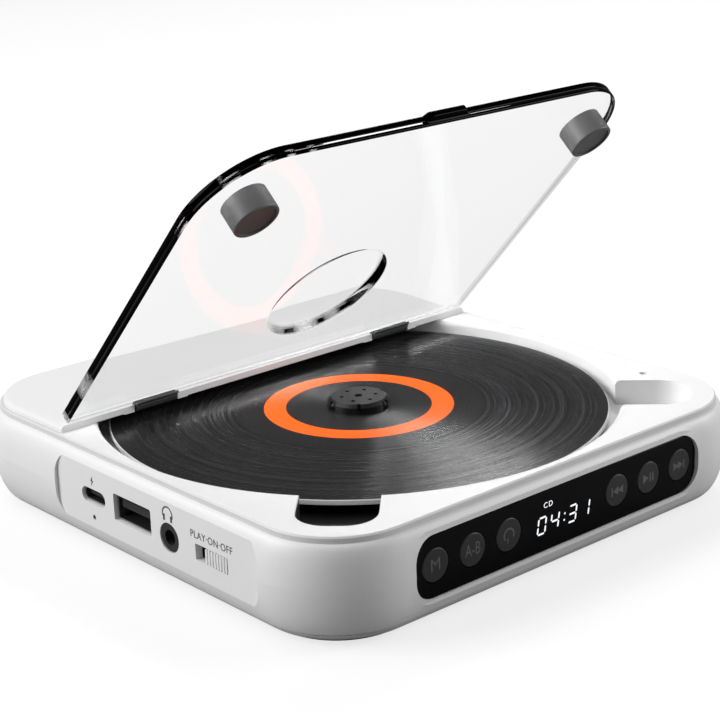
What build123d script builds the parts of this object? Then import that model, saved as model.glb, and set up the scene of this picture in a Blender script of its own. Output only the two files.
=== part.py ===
"""Portable compact disc player with a flip-up clear lid.

Frame: origin at the centre of the footprint on the table, +Z up, +X to the right along the
display face, +Y to the back. The lid stands open at its rest angle. Millimetres.
"""

import math
import os

from build123d import *

os.makedirs("parts", exist_ok=True)

# ---------------------------------------------------------------- housing
SEAM_HALF_X = 65.9        # half width of the body at the deck seam
SEAM_HALF_Y = 67.5
SEAM_RADIUS = 18.6
SEAM_Z = 22.9             # the deck sits on the body here
BULGE = 2.5               # the side swells this far past the seam
BULGE_Z = 13.1
BASE_Z = 1.0              # underside of the bottom cover
BASE_TUCK = 4.6           # the side tucks in this far towards the base
COVER_FLOOR = 2.8         # top of the bottom cover's plate
SPLIT_GAP = 0.2
RING_DEPTH = 14.0         # how far the swept side reaches in from the seam line
DECK_THICKNESS = 1.5
DECK_TOP = SEAM_Z + DECK_THICKNESS
WALL = 1.8

# ---------------------------------------------------------------- disc and well
DISC_Y = -2.0
DISC_RADIUS = 60.0
DISC_HOLE_RADIUS = 7.5
DISC_THICKNESS = 1.2
DISC_BASE_Z = 20.7
WELL_RADIUS = 62.7
WELL_WALL = 1.2
LIP_RADIUS = 1.4
FLOOR_Z = 18.2
FLOOR_THICKNESS = 1.2
CHANNEL_WIDTH = 17.5
CHANNEL_REACH = 79.5      # from the disc centre, along the diagonal
HUB_RADIUS = 7.4
HUB_TOP = 24.3

# ---------------------------------------------------------------- lid and hinge
LID_OPEN_DEG = 47.4
HINGE_Y = 29.2
HINGE_Z = 25.1
LID_HALF_X = 63.6
LID_REACH = 95.7          # hinge axis to front edge
LID_THICKNESS = 2.85
LID_UNDERSIDE = -0.08     # height over the hinge axis with the lid shut
LID_REAR_GAP = 1.25
LID_CORNER = 19.0
KNUCKLE_X = 38.0
KNUCKLE_LENGTH = 12.0
KNUCKLE_RADIUS = 1.2
PIN_RADIUS = 0.45
POST_X = 50.8
POST_Y = -53.4            # with the lid shut
POST_RADIUS = 5.4
POST_LENGTH = 5.8
MAGNET_WALL = 0.8
RECESS_RADIUS = 16.5
RECESS_DEPTH = 1.9
COVER_TOP = 25.9
COVER_INSET = 0.9
COVER_FRONT_Y = 28.4

# ---------------------------------------------------------------- front panel
WINDOW_Y = -69.1
WINDOW_THICKNESS = 1.5
WINDOW_HALF_X = 44.7
WINDOW_HALF_Z = 7.05
WINDOW_CORNER = 5.6
WINDOW_Z = 13.4
FIT_GAP = 0.1
BUTTON_Z = 13.6
BUTTON_RADIUS = 3.75
BUTTON_HOLE_RADIUS = 3.9
BUTTON_PITCH = 10.75
BUTTON_GROUP_X = 28.0
BUTTON_NAMES = ["mode", "a_b", "repeat", "previous", "play_pause", "next"]
BOARD_FACE_Y = -63.0

# ---------------------------------------------------------------- left side ports
LANDING_X = -67.5
BOARD_TOP = 10.4
BOARD_THICKNESS = 1.6
USB_C_Y = 12.9
USB_C_Z = 13.6
USB_A_Y = -2.3
USB_A_Z = 13.7
JACK_Y = -16.1
JACK_Z = 12.4
SWITCH_Y = -31.1
SWITCH_Z = 12.2
SWITCH_WINDOW = (11.2, 3.8)
KNOB_LENGTH = 7.4
PINHOLE_Y = 13.2
PINHOLE_Z = 8.5

# ---------------------------------------------------------------- mechanism
PLATE_Z = 14.4
PLATE_THICKNESS = 1.4
CHASSIS_X = (-26.0, 64.0)
CHASSIS_Y = (-39.0, 21.0)
MOTOR_RADIUS = 11.5
MOTOR_BASE = 8.4
SHAFT_RADIUS = 1.0
RUNNING_GAP = 0.05
RAIL_Z = 11.2
RAIL_OFFSET = 11.5
LENS_HOME = 24.0
SLED_BASE = 8.6
SLED_TOP = 13.8
RACK_LINE_Y = -18.0
GEAR_MODULE = 0.5
PINION_TEETH = 12
WHEEL_TEETH = 36
MOTOR_TEETH = 10
GEAR_X = 30.0
SLED_MOTOR_ANGLE = 240.0


def rounded_outline(grow, z):
    """Plan outline of the body, grown past the seam line by grow, at height z."""
    with BuildSketch(Plane.XY.offset(z)) as outline:
        RectangleRounded(2 * (SEAM_HALF_X + grow), 2 * (SEAM_HALF_Y + grow), SEAM_RADIUS + grow)
    return outline.sketch


def seam_path():
    """The seam line as a closed path that starts on the +X side."""
    x, y, r = SEAM_HALF_X, SEAM_HALF_Y, SEAM_RADIUS
    with BuildLine() as path:
        Line((x, 0), (x, y - r))
        CenterArc((x - r, y - r), r, 0, 90)
        Line((x - r, y), (r - x, y))
        CenterArc((r - x, y - r), r, 90, 90)
        Line((-x, y - r), (-x, r - y))
        CenterArc((r - x, r - y), r, 180, 90)
        Line((r - x, -y), (x - r, -y))
        CenterArc((x - r, r - y), r, 270, 90)
        Line((x, r - y), (x, 0))
    return path.wires()[0]


def side_ring():
    """Barrel side of the body as a ring of solid plastic, from the base to the seam."""
    inner = SEAM_HALF_X - RING_DEPTH
    outer = SEAM_HALF_X + BULGE
    with BuildSketch(Plane.XZ) as profile:
        with BuildLine():
            Line((inner, BASE_Z), (outer - BASE_TUCK, BASE_Z))
            EllipticalCenterArc((outer - BASE_TUCK, BULGE_Z), BASE_TUCK, BULGE_Z - BASE_Z, 270,
                                arc_size=90)
            EllipticalCenterArc((SEAM_HALF_X, BULGE_Z), BULGE, SEAM_Z - BULGE_Z, 0, arc_size=90)
            Line((SEAM_HALF_X, SEAM_Z), (inner, SEAM_Z))
            Line((inner, SEAM_Z), (inner, BASE_Z))
        make_face()
    return sweep(profile.sketch, path=seam_path(), mode=Mode.PRIVATE)


def pill(centre_x, centre_z, half_x, half_z, corner, y):
    """Rounded bar on a plane that faces the front, at depth y."""
    with BuildSketch(Plane.XZ.offset(-y)) as face:
        with Locations((centre_x, centre_z)):
            RectangleRounded(2 * half_x, 2 * half_z, corner)
    return face.sketch


def button_x():
    """X of each button, from left to right."""
    steps = (-BUTTON_PITCH, 0, BUTTON_PITCH)
    return [side * BUTTON_GROUP_X + step for side in (-1, 1) for step in steps]


# ================================================================ body shell
with BuildPart() as body_shell:
    add(side_ring())
    split(bisect_by=Plane.XY.offset(COVER_FLOOR + SPLIT_GAP), keep=Keep.TOP)
    # inside: straight walls, with a step in near the seam and near the base
    for grow, low, high in ((-1.4, 2.0, 6.0), (0.6, 6.0, 19.5), (-1.4, 19.5, SEAM_Z + 1)):
        extrude(rounded_outline(grow, low), amount=high - low, mode=Mode.SUBTRACT)
    # frame behind the display window, and the pocket that the window sits in
    extrude(pill(0, WINDOW_Z, WINDOW_HALF_X + 1.6, WINDOW_HALF_Z + 1.2, WINDOW_CORNER + 1.2, WINDOW_Y),
            amount=-2.9)
    extrude(pill(0, WINDOW_Z, WINDOW_HALF_X + FIT_GAP, WINDOW_HALF_Z + FIT_GAP, WINDOW_CORNER, -80.0),
            amount=-(80.0 + WINDOW_Y + WINDOW_THICKNESS), mode=Mode.SUBTRACT)
    extrude(pill(0, WINDOW_Z, WINDOW_HALF_X - 1.2, WINDOW_HALF_Z - 1.2, WINDOW_CORNER - 1.2, -80.0),
            amount=-20.0, mode=Mode.SUBTRACT)
    # ribs that hold the ends of the button board
    with BuildSketch(Plane.XY.offset(6)) as board_ribs:
        for side in (-1, 1):
            with Locations((side * 43.8, -63.9)):
                Rectangle(1.6, 4.6)
    extrude(amount=10)
    # flat landing for the ports, and a thicker wall behind it
    with BuildSketch(Plane.YZ.offset(LANDING_X + WALL)) as port_wall:
        with Locations((-10, 12.6)):
            RectangleRounded(77, 13.0, 3)
    extrude(amount=-WALL)
    with BuildSketch(Plane.YZ.offset(LANDING_X)) as landing:
        with Locations((-10, 13.25)):
            RectangleRounded(75, 17, 6)
    extrude(amount=-5, mode=Mode.SUBTRACT)
    # openings for the ports
    with BuildSketch(Plane.YZ.offset(LANDING_X + 4)) as port_openings:
        with Locations((USB_C_Y, USB_C_Z)):
            SlotOverall(9.3, 3.6)
        with Locations((USB_A_Y, USB_A_Z)):
            RectangleRounded(14.2, 6.4, 0.5)
        with Locations((JACK_Y, JACK_Z)):
            Circle(3.45)
        with Locations((SWITCH_Y, SWITCH_Z)):
            RectangleRounded(*SWITCH_WINDOW, 0.3)
        with Locations((PINHOLE_Y, PINHOLE_Z)):
            Circle(0.6)
    extrude(amount=-10, mode=Mode.SUBTRACT)
body_shell.part.label = "body_shell"
export_step(body_shell.part, "parts/body_shell.step")

# ================================================================ bottom cover, feet and screws
SCREW_SPOTS = [(58.9, -50.5), (-58.9, -50.5), (55.6, 56.6), (-55.6, 56.6)]
STANDOFF_SPOTS = [(-61.5, -43.0), (-40.0, -43.0), (-61.5, 39.0), (-40.0, 39.0)]
DAMPER_SPOTS = [(-21.5, -34.5), (58.5, -34.5), (58.5, 16.5), (-21.5, 16.5)]
DAMPER_BASE = 10.6
FOOT_INSET = 3.0
FOOT_WIDTH = 6.0
FOOT_END = 34.0

with BuildPart() as bottom_cover:
    add(side_ring())
    extrude(rounded_outline(-RING_DEPTH + 1, BASE_Z), amount=COVER_FLOOR - BASE_Z)
    split(bisect_by=Plane.XY.offset(COVER_FLOOR), keep=Keep.BOTTOM)
    # lip that locates the cover inside the body
    with BuildSketch(Plane.XY.offset(COVER_FLOOR)) as lip:
        RectangleRounded(2 * (SEAM_HALF_X - 1.6), 2 * (SEAM_HALF_Y - 1.6), SEAM_RADIUS - 1.6)
        RectangleRounded(2 * (SEAM_HALF_X - 2.8), 2 * (SEAM_HALF_Y - 2.8), SEAM_RADIUS - 2.8,
                         mode=Mode.SUBTRACT)
    extrude(amount=1.6)
    with BuildSketch(Plane.XY.offset(COVER_FLOOR)) as standoffs:
        with Locations(*STANDOFF_SPOTS):
            Circle(2.4)
    extrude(amount=BOARD_TOP - BOARD_THICKNESS - COVER_FLOOR)
    with BuildSketch(Plane.XY.offset(COVER_FLOOR)) as damper_posts:
        with Locations(*DAMPER_SPOTS):
            Circle(2.8)
    extrude(amount=DAMPER_BASE - COVER_FLOOR)
    with BuildSketch(Plane.XY.offset(COVER_FLOOR + 1)) as pilot_holes:
        with Locations(*STANDOFF_SPOTS, *DAMPER_SPOTS):
            Circle(0.9)
    extrude(amount=12, mode=Mode.SUBTRACT)
    with BuildSketch(Plane.XY.offset(BASE_Z)) as screw_holes:
        with Locations(*SCREW_SPOTS):
            Circle(1.4)
    extrude(amount=3, mode=Mode.SUBTRACT)
    with BuildSketch(Plane.XY.offset(BASE_Z)) as screw_recesses:
        with Locations(*SCREW_SPOTS):
            Circle(2.9)
    extrude(amount=0.7, mode=Mode.SUBTRACT)
bottom_cover.part.label = "bottom_cover"
export_step(bottom_cover.part, "parts/bottom_cover.step")

with BuildPart() as corner_feet:
    extrude(rounded_outline(-FOOT_INSET, 0), amount=BASE_Z)
    fillet(corner_feet.edges().group_by(Axis.Z)[0], 0.35)
    extrude(rounded_outline(-FOOT_INSET - FOOT_WIDTH, 0), amount=BASE_Z, mode=Mode.SUBTRACT)
    with BuildSketch() as between_feet:
        Rectangle(2 * FOOT_END, 200)
        Rectangle(200, 2 * (FOOT_END + 1.5))
    extrude(amount=BASE_Z, mode=Mode.SUBTRACT)
    with BuildSketch() as screw_relief:
        with Locations(*SCREW_SPOTS):
            Circle(2.9)
    extrude(amount=BASE_Z, mode=Mode.SUBTRACT)
corner_feet.part.label = "corner_feet"
export_step(corner_feet.part, "parts/corner_feet.step")

# ================================================================ top deck
SCREW_BOSS_RADIUS = 3.0
SENSOR_HOLE = (58.9, -41.1)
LENS_SLOT_END = 61.0
MOUTH_FILLET = 5.0         # where the channels leave the well


def well_outline(grow, z):
    """Disc well joined to its two finger channels, in plan, at height z."""
    with BuildSketch(Plane.XY.offset(z)) as outline:
        with Locations((0, DISC_Y)):
            Circle(WELL_RADIUS + grow)
        for angle in (-45, -135):
            with Locations(Location((0, DISC_Y, 0), (0, 0, angle))):
                with Locations(((CHANNEL_REACH + grow) / 2, 0)):
                    RectangleRounded(CHANNEL_REACH + grow, CHANNEL_WIDTH + 2 * grow, 7.0 + grow)
    return outline.sketch


def well_mouth():
    """The same outline with rounded corners where the channels leave the well."""
    outline = well_outline(0, FLOOR_Z)
    near_rim = [v for v in outline.vertices()
                if abs(math.hypot(v.X, v.Y - DISC_Y) - WELL_RADIUS) < 0.01 and abs(v.X) > 10]
    with BuildSketch(Plane.XY.offset(FLOOR_Z)) as rounded:
        add(outline)
        fillet(near_rim, MOUTH_FILLET)
    return rounded.sketch


with BuildPart() as top_deck:
    extrude(rounded_outline(0, SEAM_Z), amount=DECK_THICKNESS)
    chamfer(top_deck.edges().group_by(Axis.Z)[-1], 0.35)
    # cup of the well and channels, hung under the deck plate
    extrude(well_outline(WELL_WALL, FLOOR_Z - FLOOR_THICKNESS), amount=SEAM_Z - FLOOR_Z + FLOOR_THICKNESS)
    extrude(well_mouth(), amount=10, mode=Mode.SUBTRACT)
    # soft lip round the mouth of the well
    with BuildSketch(Plane.XZ.offset(-DISC_Y)) as lip_profile:
        with BuildLine():
            Line((WELL_RADIUS - 1, DECK_TOP - LIP_RADIUS), (WELL_RADIUS, DECK_TOP - LIP_RADIUS))
            RadiusArc((WELL_RADIUS, DECK_TOP - LIP_RADIUS), (WELL_RADIUS + LIP_RADIUS, DECK_TOP), LIP_RADIUS)
            Line((WELL_RADIUS + LIP_RADIUS, DECK_TOP), (WELL_RADIUS + LIP_RADIUS, DECK_TOP + 1))
            Line((WELL_RADIUS + LIP_RADIUS, DECK_TOP + 1), (WELL_RADIUS - 1, DECK_TOP + 1))
            Line((WELL_RADIUS - 1, DECK_TOP + 1), (WELL_RADIUS - 1, DECK_TOP - LIP_RADIUS))
        make_face()
    revolve(axis=Axis((0, DISC_Y, 0), (0, 0, 1)), mode=Mode.SUBTRACT)
    # openings in the floor for the turntable and the lens
    with BuildSketch(Plane.XY.offset(FLOOR_Z)) as floor_openings:
        with Locations((0, DISC_Y)):
            Circle(17)
        with Locations((LENS_SLOT_END / 2, DISC_Y)):
            RectangleRounded(LENS_SLOT_END, 14, 3)
    extrude(amount=-5, mode=Mode.SUBTRACT)
    with BuildSketch(Plane.XY.offset(DECK_TOP)) as sensor_hole:
        with Locations(SENSOR_HOLE):
            Circle(1.0)
    extrude(amount=-5, mode=Mode.SUBTRACT)
    # bosses that take the bottom screws
    for x, y in SCREW_SPOTS:
        boss_top = FLOOR_Z - FLOOR_THICKNESS if y < 0 else SEAM_Z
        with BuildSketch(Plane.XY.offset(COVER_FLOOR)) as boss:
            with Locations((x, y)):
                Circle(SCREW_BOSS_RADIUS)
                Circle(1.15, mode=Mode.SUBTRACT)
        extrude(amount=boss_top - COVER_FLOOR)
top_deck.part.label = "top_deck"
export_step(top_deck.part, "parts/top_deck.step")

# ================================================================ rear cover
BOSS_WIDTH = 3.0
BOSS_DEPTH = 1.75
KNUCKLE_GAP = 0.35
HINGE_SIDES = (-1, 1)

with BuildPart() as rear_cover:
    extrude(rounded_outline(-COVER_INSET, DECK_TOP), amount=COVER_TOP - DECK_TOP)
    with BuildSketch(Plane.XY.offset(DECK_TOP)) as lid_area:
        with Locations((0, COVER_FRONT_Y - 100)):
            Rectangle(300, 200)
    extrude(amount=5, mode=Mode.SUBTRACT)
    fillet(rear_cover.edges().group_by(Axis.Z)[-1].sort_by(Axis.Y)[1:], 1.2)
    for side in HINGE_SIDES:
        with BuildSketch(Plane.XY.offset(COVER_TOP)) as hinge_boss:
            with Locations((side * KNUCKLE_X, COVER_FRONT_Y + 1.6)):
                Rectangle(KNUCKLE_LENGTH + 2 * KNUCKLE_GAP + 2 * BOSS_WIDTH, 3.2)
        extrude(amount=-BOSS_DEPTH)
    for side in HINGE_SIDES:
        with BuildSketch(Plane.XY.offset(COVER_TOP)) as knuckle_slot:
            with Locations((side * KNUCKLE_X, COVER_FRONT_Y + 1.6)):
                Rectangle(KNUCKLE_LENGTH + 2 * KNUCKLE_GAP, 3.6)
        extrude(amount=5, both=True, mode=Mode.SUBTRACT)
        with BuildSketch(Plane.YZ.offset(side * KNUCKLE_X)) as pin_bore:
            with Locations((HINGE_Y, HINGE_Z)):
                Circle(PIN_RADIUS + 0.02)
        extrude(amount=KNUCKLE_LENGTH / 2 + BOSS_WIDTH, both=True, mode=Mode.SUBTRACT)
rear_cover.part.label = "rear_cover"
export_step(rear_cover.part, "parts/rear_cover.step")

with BuildPart() as hinge_pins:
    for side in HINGE_SIDES:
        with BuildSketch(Plane.YZ.offset(side * KNUCKLE_X)) as pin:
            with Locations((HINGE_Y, HINGE_Z)):
                Circle(PIN_RADIUS)
        extrude(amount=KNUCKLE_LENGTH / 2 + BOSS_WIDTH - 0.3, both=True)
hinge_pins.part.label = "hinge_pins"
export_step(hinge_pins.part, "parts/hinge_pins.step")

# ================================================================ lid, drawn shut and turned open
OPEN = math.radians(LID_OPEN_DEG)
LID_TOP = LID_UNDERSIDE + LID_THICKNESS
LID_LENGTH = LID_REACH - LID_REAR_GAP
LID_CENTRE_V = -(LID_REACH + LID_REAR_GAP) / 2
TAB_WIDTH = 12.0
TAB_REACH = 1.3


def lid_plane(height):
    """Plane parallel to the lid; its origin is on the hinge axis and -Y runs to the front edge."""
    normal = Vector(0, math.sin(OPEN), math.cos(OPEN))
    return Plane(origin=Vector(0, HINGE_Y, HINGE_Z) + normal * height, x_dir=(1, 0, 0), z_dir=normal)


with BuildPart() as lid:
    with BuildSketch(lid_plane(LID_UNDERSIDE)) as lid_outline:
        with Locations((0, LID_CENTRE_V)):
            Rectangle(2 * LID_HALF_X, LID_LENGTH)
        fillet(lid_outline.vertices().group_by(Axis.Y)[0], LID_CORNER)
        fillet(lid_outline.vertices().group_by(Axis.Y)[-1], 1.0)
    extrude(amount=LID_THICKNESS)
    chamfer(lid.faces().filter_by(lid_plane(0)).edges(), 0.25)
    with BuildSketch(lid_plane(LID_TOP - 1.7)) as finger_tab:
        with Locations((0, -LID_REACH + 1)):
            RectangleRounded(TAB_WIDTH, 2 * (TAB_REACH + 1), 1.2)
    extrude(amount=1.7)
    with BuildSketch(lid_plane(LID_UNDERSIDE)) as hub_recess:
        with Locations((0, DISC_Y - HINGE_Y)):
            Circle(RECESS_RADIUS)
    extrude(amount=RECESS_DEPTH, mode=Mode.SUBTRACT)
lid.part.label = "lid"
export_step(lid.part, "parts/lid.step")

for side, name in zip(HINGE_SIDES, ("left", "right")):
    with BuildPart() as knuckle:
        with BuildSketch(Plane.YZ.offset(side * KNUCKLE_X)) as barrel:
            with Locations((HINGE_Y, HINGE_Z)):
                Circle(KNUCKLE_RADIUS)
        extrude(amount=KNUCKLE_LENGTH / 2, both=True)
        with BuildSketch(lid_plane(-0.9)) as arm:
            with Locations((side * KNUCKLE_X, -LID_REAR_GAP / 2)):
                Rectangle(KNUCKLE_LENGTH, LID_REAR_GAP)
        extrude(amount=2.4)
        with BuildSketch(lid_plane(LID_UNDERSIDE - 0.5)) as leaf:
            with Locations((side * KNUCKLE_X, -1.55)):
                Rectangle(KNUCKLE_LENGTH, 1.5)
        extrude(amount=0.5)
        with BuildSketch(Plane.YZ.offset(side * KNUCKLE_X)) as bore:
            with Locations((HINGE_Y, HINGE_Z)):
                Circle(PIN_RADIUS + RUNNING_GAP)
        extrude(amount=KNUCKLE_LENGTH, both=True, mode=Mode.SUBTRACT)
    knuckle.part.label = f"{name}_hinge_knuckle"
    export_step(knuckle.part, f"parts/{name}_hinge_knuckle.step")

    post_centre = (side * POST_X, POST_Y - HINGE_Y)
    with BuildPart() as magnet_cup:
        with BuildSketch(lid_plane(LID_UNDERSIDE)) as cup_outline:
            with Locations(post_centre):
                Circle(POST_RADIUS)
        extrude(amount=-POST_LENGTH)
        fillet(magnet_cup.faces().filter_by(GeomType.PLANE).sort_by(Axis.Z)[0].edges(), 0.4)
        with BuildSketch(lid_plane(LID_UNDERSIDE - POST_LENGTH)) as magnet_pocket:
            with Locations(post_centre):
                Circle(POST_RADIUS - MAGNET_WALL)
        extrude(amount=3.0, mode=Mode.SUBTRACT)
    magnet_cup.part.label = f"{name}_magnet_cup"
    export_step(magnet_cup.part, f"parts/{name}_magnet_cup.step")

    with BuildPart() as magnet:
        with BuildSketch(lid_plane(LID_UNDERSIDE - POST_LENGTH + 3.0)) as magnet_outline:
            with Locations(post_centre):
                Circle(POST_RADIUS - MAGNET_WALL - RUNNING_GAP)
        extrude(amount=-2.6)
    magnet.part.label = f"{name}_magnet"
    export_step(magnet.part, f"parts/{name}_magnet.step")

# ================================================================ display window and buttons
BUTTON_FLANGE = (4.4, -67.2, 0.5)      # radius, front Y and thickness
BUTTON_STEM_END = -64.6
WINDOW_BACK_Y = WINDOW_Y + WINDOW_THICKNESS


def facing_front(y):
    """Sketch plane that faces the front at depth y; a negative extrude goes to the back."""
    return Plane.XZ.offset(-y)


with BuildPart() as display_window:
    extrude(pill(0, WINDOW_Z, WINDOW_HALF_X, WINDOW_HALF_Z, WINDOW_CORNER - FIT_GAP, WINDOW_Y),
            amount=-WINDOW_THICKNESS)
    with BuildSketch(facing_front(WINDOW_Y)) as button_holes:
        with Locations(*[(x, BUTTON_Z) for x in button_x()]):
            Circle(BUTTON_HOLE_RADIUS)
    extrude(amount=-WINDOW_THICKNESS, mode=Mode.SUBTRACT)
    chamfer(display_window.faces().sort_by(Axis.Y)[0].outer_wire().edges(), 0.15)
display_window.part.label = "display_window"
export_step(display_window.part, "parts/display_window.step")

for x, name in zip(button_x(), BUTTON_NAMES):
    with BuildPart() as button:
        with BuildSketch(facing_front(WINDOW_Y - 0.1)) as cap:
            with Locations((x, BUTTON_Z)):
                Circle(BUTTON_RADIUS)
        extrude(amount=BUTTON_FLANGE[1] - WINDOW_Y + 0.1, dir=(0, 1, 0))
        fillet(button.edges().group_by(Axis.Y)[0], 0.25)
        with BuildSketch(facing_front(BUTTON_FLANGE[1])) as flange:
            with Locations((x, BUTTON_Z)):
                Circle(BUTTON_FLANGE[0])
        extrude(amount=-BUTTON_FLANGE[2])
        with BuildSketch(facing_front(BUTTON_FLANGE[1])) as stem:
            with Locations((x, BUTTON_Z)):
                Circle(1.5)
        extrude(amount=BUTTON_FLANGE[1] - BUTTON_STEM_END)
    button.part.label = f"{name}_button"
    export_step(button.part, f"parts/{name}_button.step")

with BuildPart() as tact_switches:
    with BuildSketch(facing_front(BOARD_FACE_Y)) as switch_bodies:
        with Locations(*[(x, BUTTON_Z) for x in button_x()]):
            Rectangle(4.5, 4.5)
    extrude(amount=0.8)
    with BuildSketch(facing_front(BOARD_FACE_Y - 0.8)) as switch_domes:
        with Locations(*[(x, BUTTON_Z) for x in button_x()]):
            Circle(1.2)
    extrude(amount=0.4)
tact_switches.part.label = "tact_switches"
export_step(tact_switches.part, "parts/tact_switches.step")

with BuildPart() as button_board:
    with BuildSketch(facing_front(BOARD_FACE_Y)) as button_board_outline:
        with Locations((0, 10.85)):
            Rectangle(86, 11.7)
    extrude(amount=-1.0)
button_board.part.label = "button_board"
export_step(button_board.part, "parts/button_board.step")

with BuildPart() as display_module:
    with BuildSketch(facing_front(BOARD_FACE_Y)) as display_block:
        with Locations((0, 12.7)):
            RectangleRounded(25, 8.4, 0.4)
    extrude(amount=BOARD_FACE_Y - WINDOW_BACK_Y - 0.4, dir=(0, -1, 0))
display_module.part.label = "display_module"
export_step(display_module.part, "parts/display_module.step")

# ================================================================ main board and ports
BOARD_EDGE_X = -65.3
SOCKET_FACE_X = -66.7


def facing_left(x):
    """Sketch plane across X at x; a positive extrude goes inward from the left side."""
    return Plane.YZ.offset(x)


with BuildPart() as main_board:
    with BuildSketch(Plane.XY.offset(BOARD_TOP - BOARD_THICKNESS)) as board_outline:
        with Locations(((BOARD_EDGE_X - 36) / 2, -1.5)):
            RectangleRounded(-36 - BOARD_EDGE_X, 90, 1.5)
        with Locations(*STANDOFF_SPOTS):
            Circle(1.1, mode=Mode.SUBTRACT)
    extrude(amount=BOARD_THICKNESS)
main_board.part.label = "main_board"
export_step(main_board.part, "parts/main_board.step")

# centre X and Y, length, width and height of each chip
CHIPS = [(-48.5, 24.0, 10.0, 10.0, 1.4), (-46.0, -28.0, 7.0, 7.0, 1.2), (-44.0, 6.0, 6.0, 5.0, 1.1),
         (-42.0, -12.0, 8.0, 5.5, 1.4), (-40.5, 30.0, 4.0, 7.0, 3.2), (-52.0, -40.5, 5.0, 3.2, 1.2)]

with BuildPart() as board_chips:
    for x, y, length, width, height in CHIPS:
        with BuildSketch(Plane.XY.offset(BOARD_TOP)) as chip:
            with Locations((x, y)):
                Rectangle(length, width)
        extrude(amount=height)
board_chips.part.label = "board_chips"
export_step(board_chips.part, "parts/board_chips.step")

with BuildPart() as usb_c_socket:
    with BuildSketch(facing_left(SOCKET_FACE_X)) as usb_c_shell:
        with Locations((USB_C_Y, USB_C_Z)):
            SlotOverall(8.94, 3.26)
    extrude(amount=7.4)
    with BuildSketch(facing_left(BOARD_EDGE_X)) as usb_c_base:
        with Locations((USB_C_Y, (BOARD_TOP + USB_C_Z) / 2)):
            Rectangle(5.6, USB_C_Z - BOARD_TOP)
    extrude(amount=SOCKET_FACE_X + 7.4 - BOARD_EDGE_X)
    with BuildSketch(facing_left(SOCKET_FACE_X)) as usb_c_mouth:
        with Locations((USB_C_Y, USB_C_Z)):
            SlotOverall(8.34, 2.56)
    extrude(amount=6.2, mode=Mode.SUBTRACT)
usb_c_socket.part.label = "usb_c_socket"
export_step(usb_c_socket.part, "parts/usb_c_socket.step")

with BuildPart() as usb_c_tongue:
    with BuildSketch(facing_left(SOCKET_FACE_X + 0.8)) as usb_c_blade:
        with Locations((USB_C_Y, USB_C_Z)):
            Rectangle(6.69, 0.7)
    extrude(amount=5.4)
usb_c_tongue.part.label = "usb_c_tongue"
export_step(usb_c_tongue.part, "parts/usb_c_tongue.step")

with BuildPart() as usb_a_socket:
    with BuildSketch(facing_left(SOCKET_FACE_X)) as usb_a_shell:
        with Locations((USB_A_Y, USB_A_Z)):
            RectangleRounded(13.2, 5.8, 0.4)
    extrude(amount=13.7)
    with BuildSketch(facing_left(SOCKET_FACE_X)) as usb_a_mouth:
        with Locations((USB_A_Y, USB_A_Z)):
            Rectangle(12.5, 5.12)
    extrude(amount=11, mode=Mode.SUBTRACT)
    with BuildSketch(facing_left(BOARD_EDGE_X)) as usb_a_base:
        with Locations((USB_A_Y, BOARD_TOP + 0.3)):
            Rectangle(11, 0.6)
    extrude(amount=12)
usb_a_socket.part.label = "usb_a_socket"
export_step(usb_a_socket.part, "parts/usb_a_socket.step")

with BuildPart() as usb_a_tongue:
    with BuildSketch(facing_left(SOCKET_FACE_X + 0.6)) as usb_a_blade:
        with Locations((USB_A_Y, USB_A_Z + 0.9)):
            Rectangle(11.1, 1.84)
    extrude(amount=10.4)
usb_a_tongue.part.label = "usb_a_tongue"
export_step(usb_a_tongue.part, "parts/usb_a_tongue.step")

with BuildPart() as headphone_jack:
    with BuildSketch(facing_left(LANDING_X + 0.2)) as jack_ring:
        with Locations((JACK_Y, JACK_Z)):
            Circle(3.35)
    extrude(amount=1.8)
    fillet(headphone_jack.edges().group_by(Axis.X)[0], 0.3)
    with BuildSketch(facing_left(LANDING_X + 2.0)) as jack_block:
        with Locations((JACK_Y, BOARD_TOP + 2.6)):
            Rectangle(6.8, 5.2)
    extrude(amount=12.2)
    with BuildSketch(facing_left(LANDING_X)) as jack_bore:
        with Locations((JACK_Y, JACK_Z)):
            Circle(1.8)
    extrude(amount=13.6, mode=Mode.SUBTRACT)
headphone_jack.part.label = "headphone_jack"
export_step(headphone_jack.part, "parts/headphone_jack.step")

with BuildPart() as switch_body:
    with BuildSketch(Plane.XY.offset(BOARD_TOP)) as switch_block:
        with Locations((-62.6, SWITCH_Y)):
            Rectangle(4.0, 11.5)
    extrude(amount=4.0)
switch_body.part.label = "switch_body"
export_step(switch_body.part, "parts/switch_body.step")

KNOB_Y = SWITCH_Y - SWITCH_WINDOW[0] / 2 + 0.1 + KNOB_LENGTH / 2
KNOB_FACE_X = -67.7

with BuildPart() as switch_knob:
    with BuildSketch(facing_left(KNOB_FACE_X)) as knob_face:
        with Locations((KNOB_Y, SWITCH_Z)):
            RectangleRounded(KNOB_LENGTH, SWITCH_WINDOW[1] - 0.3, 0.25)
    extrude(amount=2.2)
    with BuildSketch(facing_left(KNOB_FACE_X)) as ridges:
        for n in range(7):
            with Locations((KNOB_Y + (n - 3) * 0.98, SWITCH_Z)):
                Rectangle(0.42, 10)
    extrude(amount=0.4, mode=Mode.SUBTRACT)
    with BuildSketch(facing_left(KNOB_FACE_X + 2.2)) as knob_flange:
        with Locations((KNOB_Y, 12.75)):
            Rectangle(12.0, 4.3)
    extrude(amount=0.6)
switch_knob.part.label = "switch_knob"
export_step(switch_knob.part, "parts/switch_knob.step")

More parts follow.
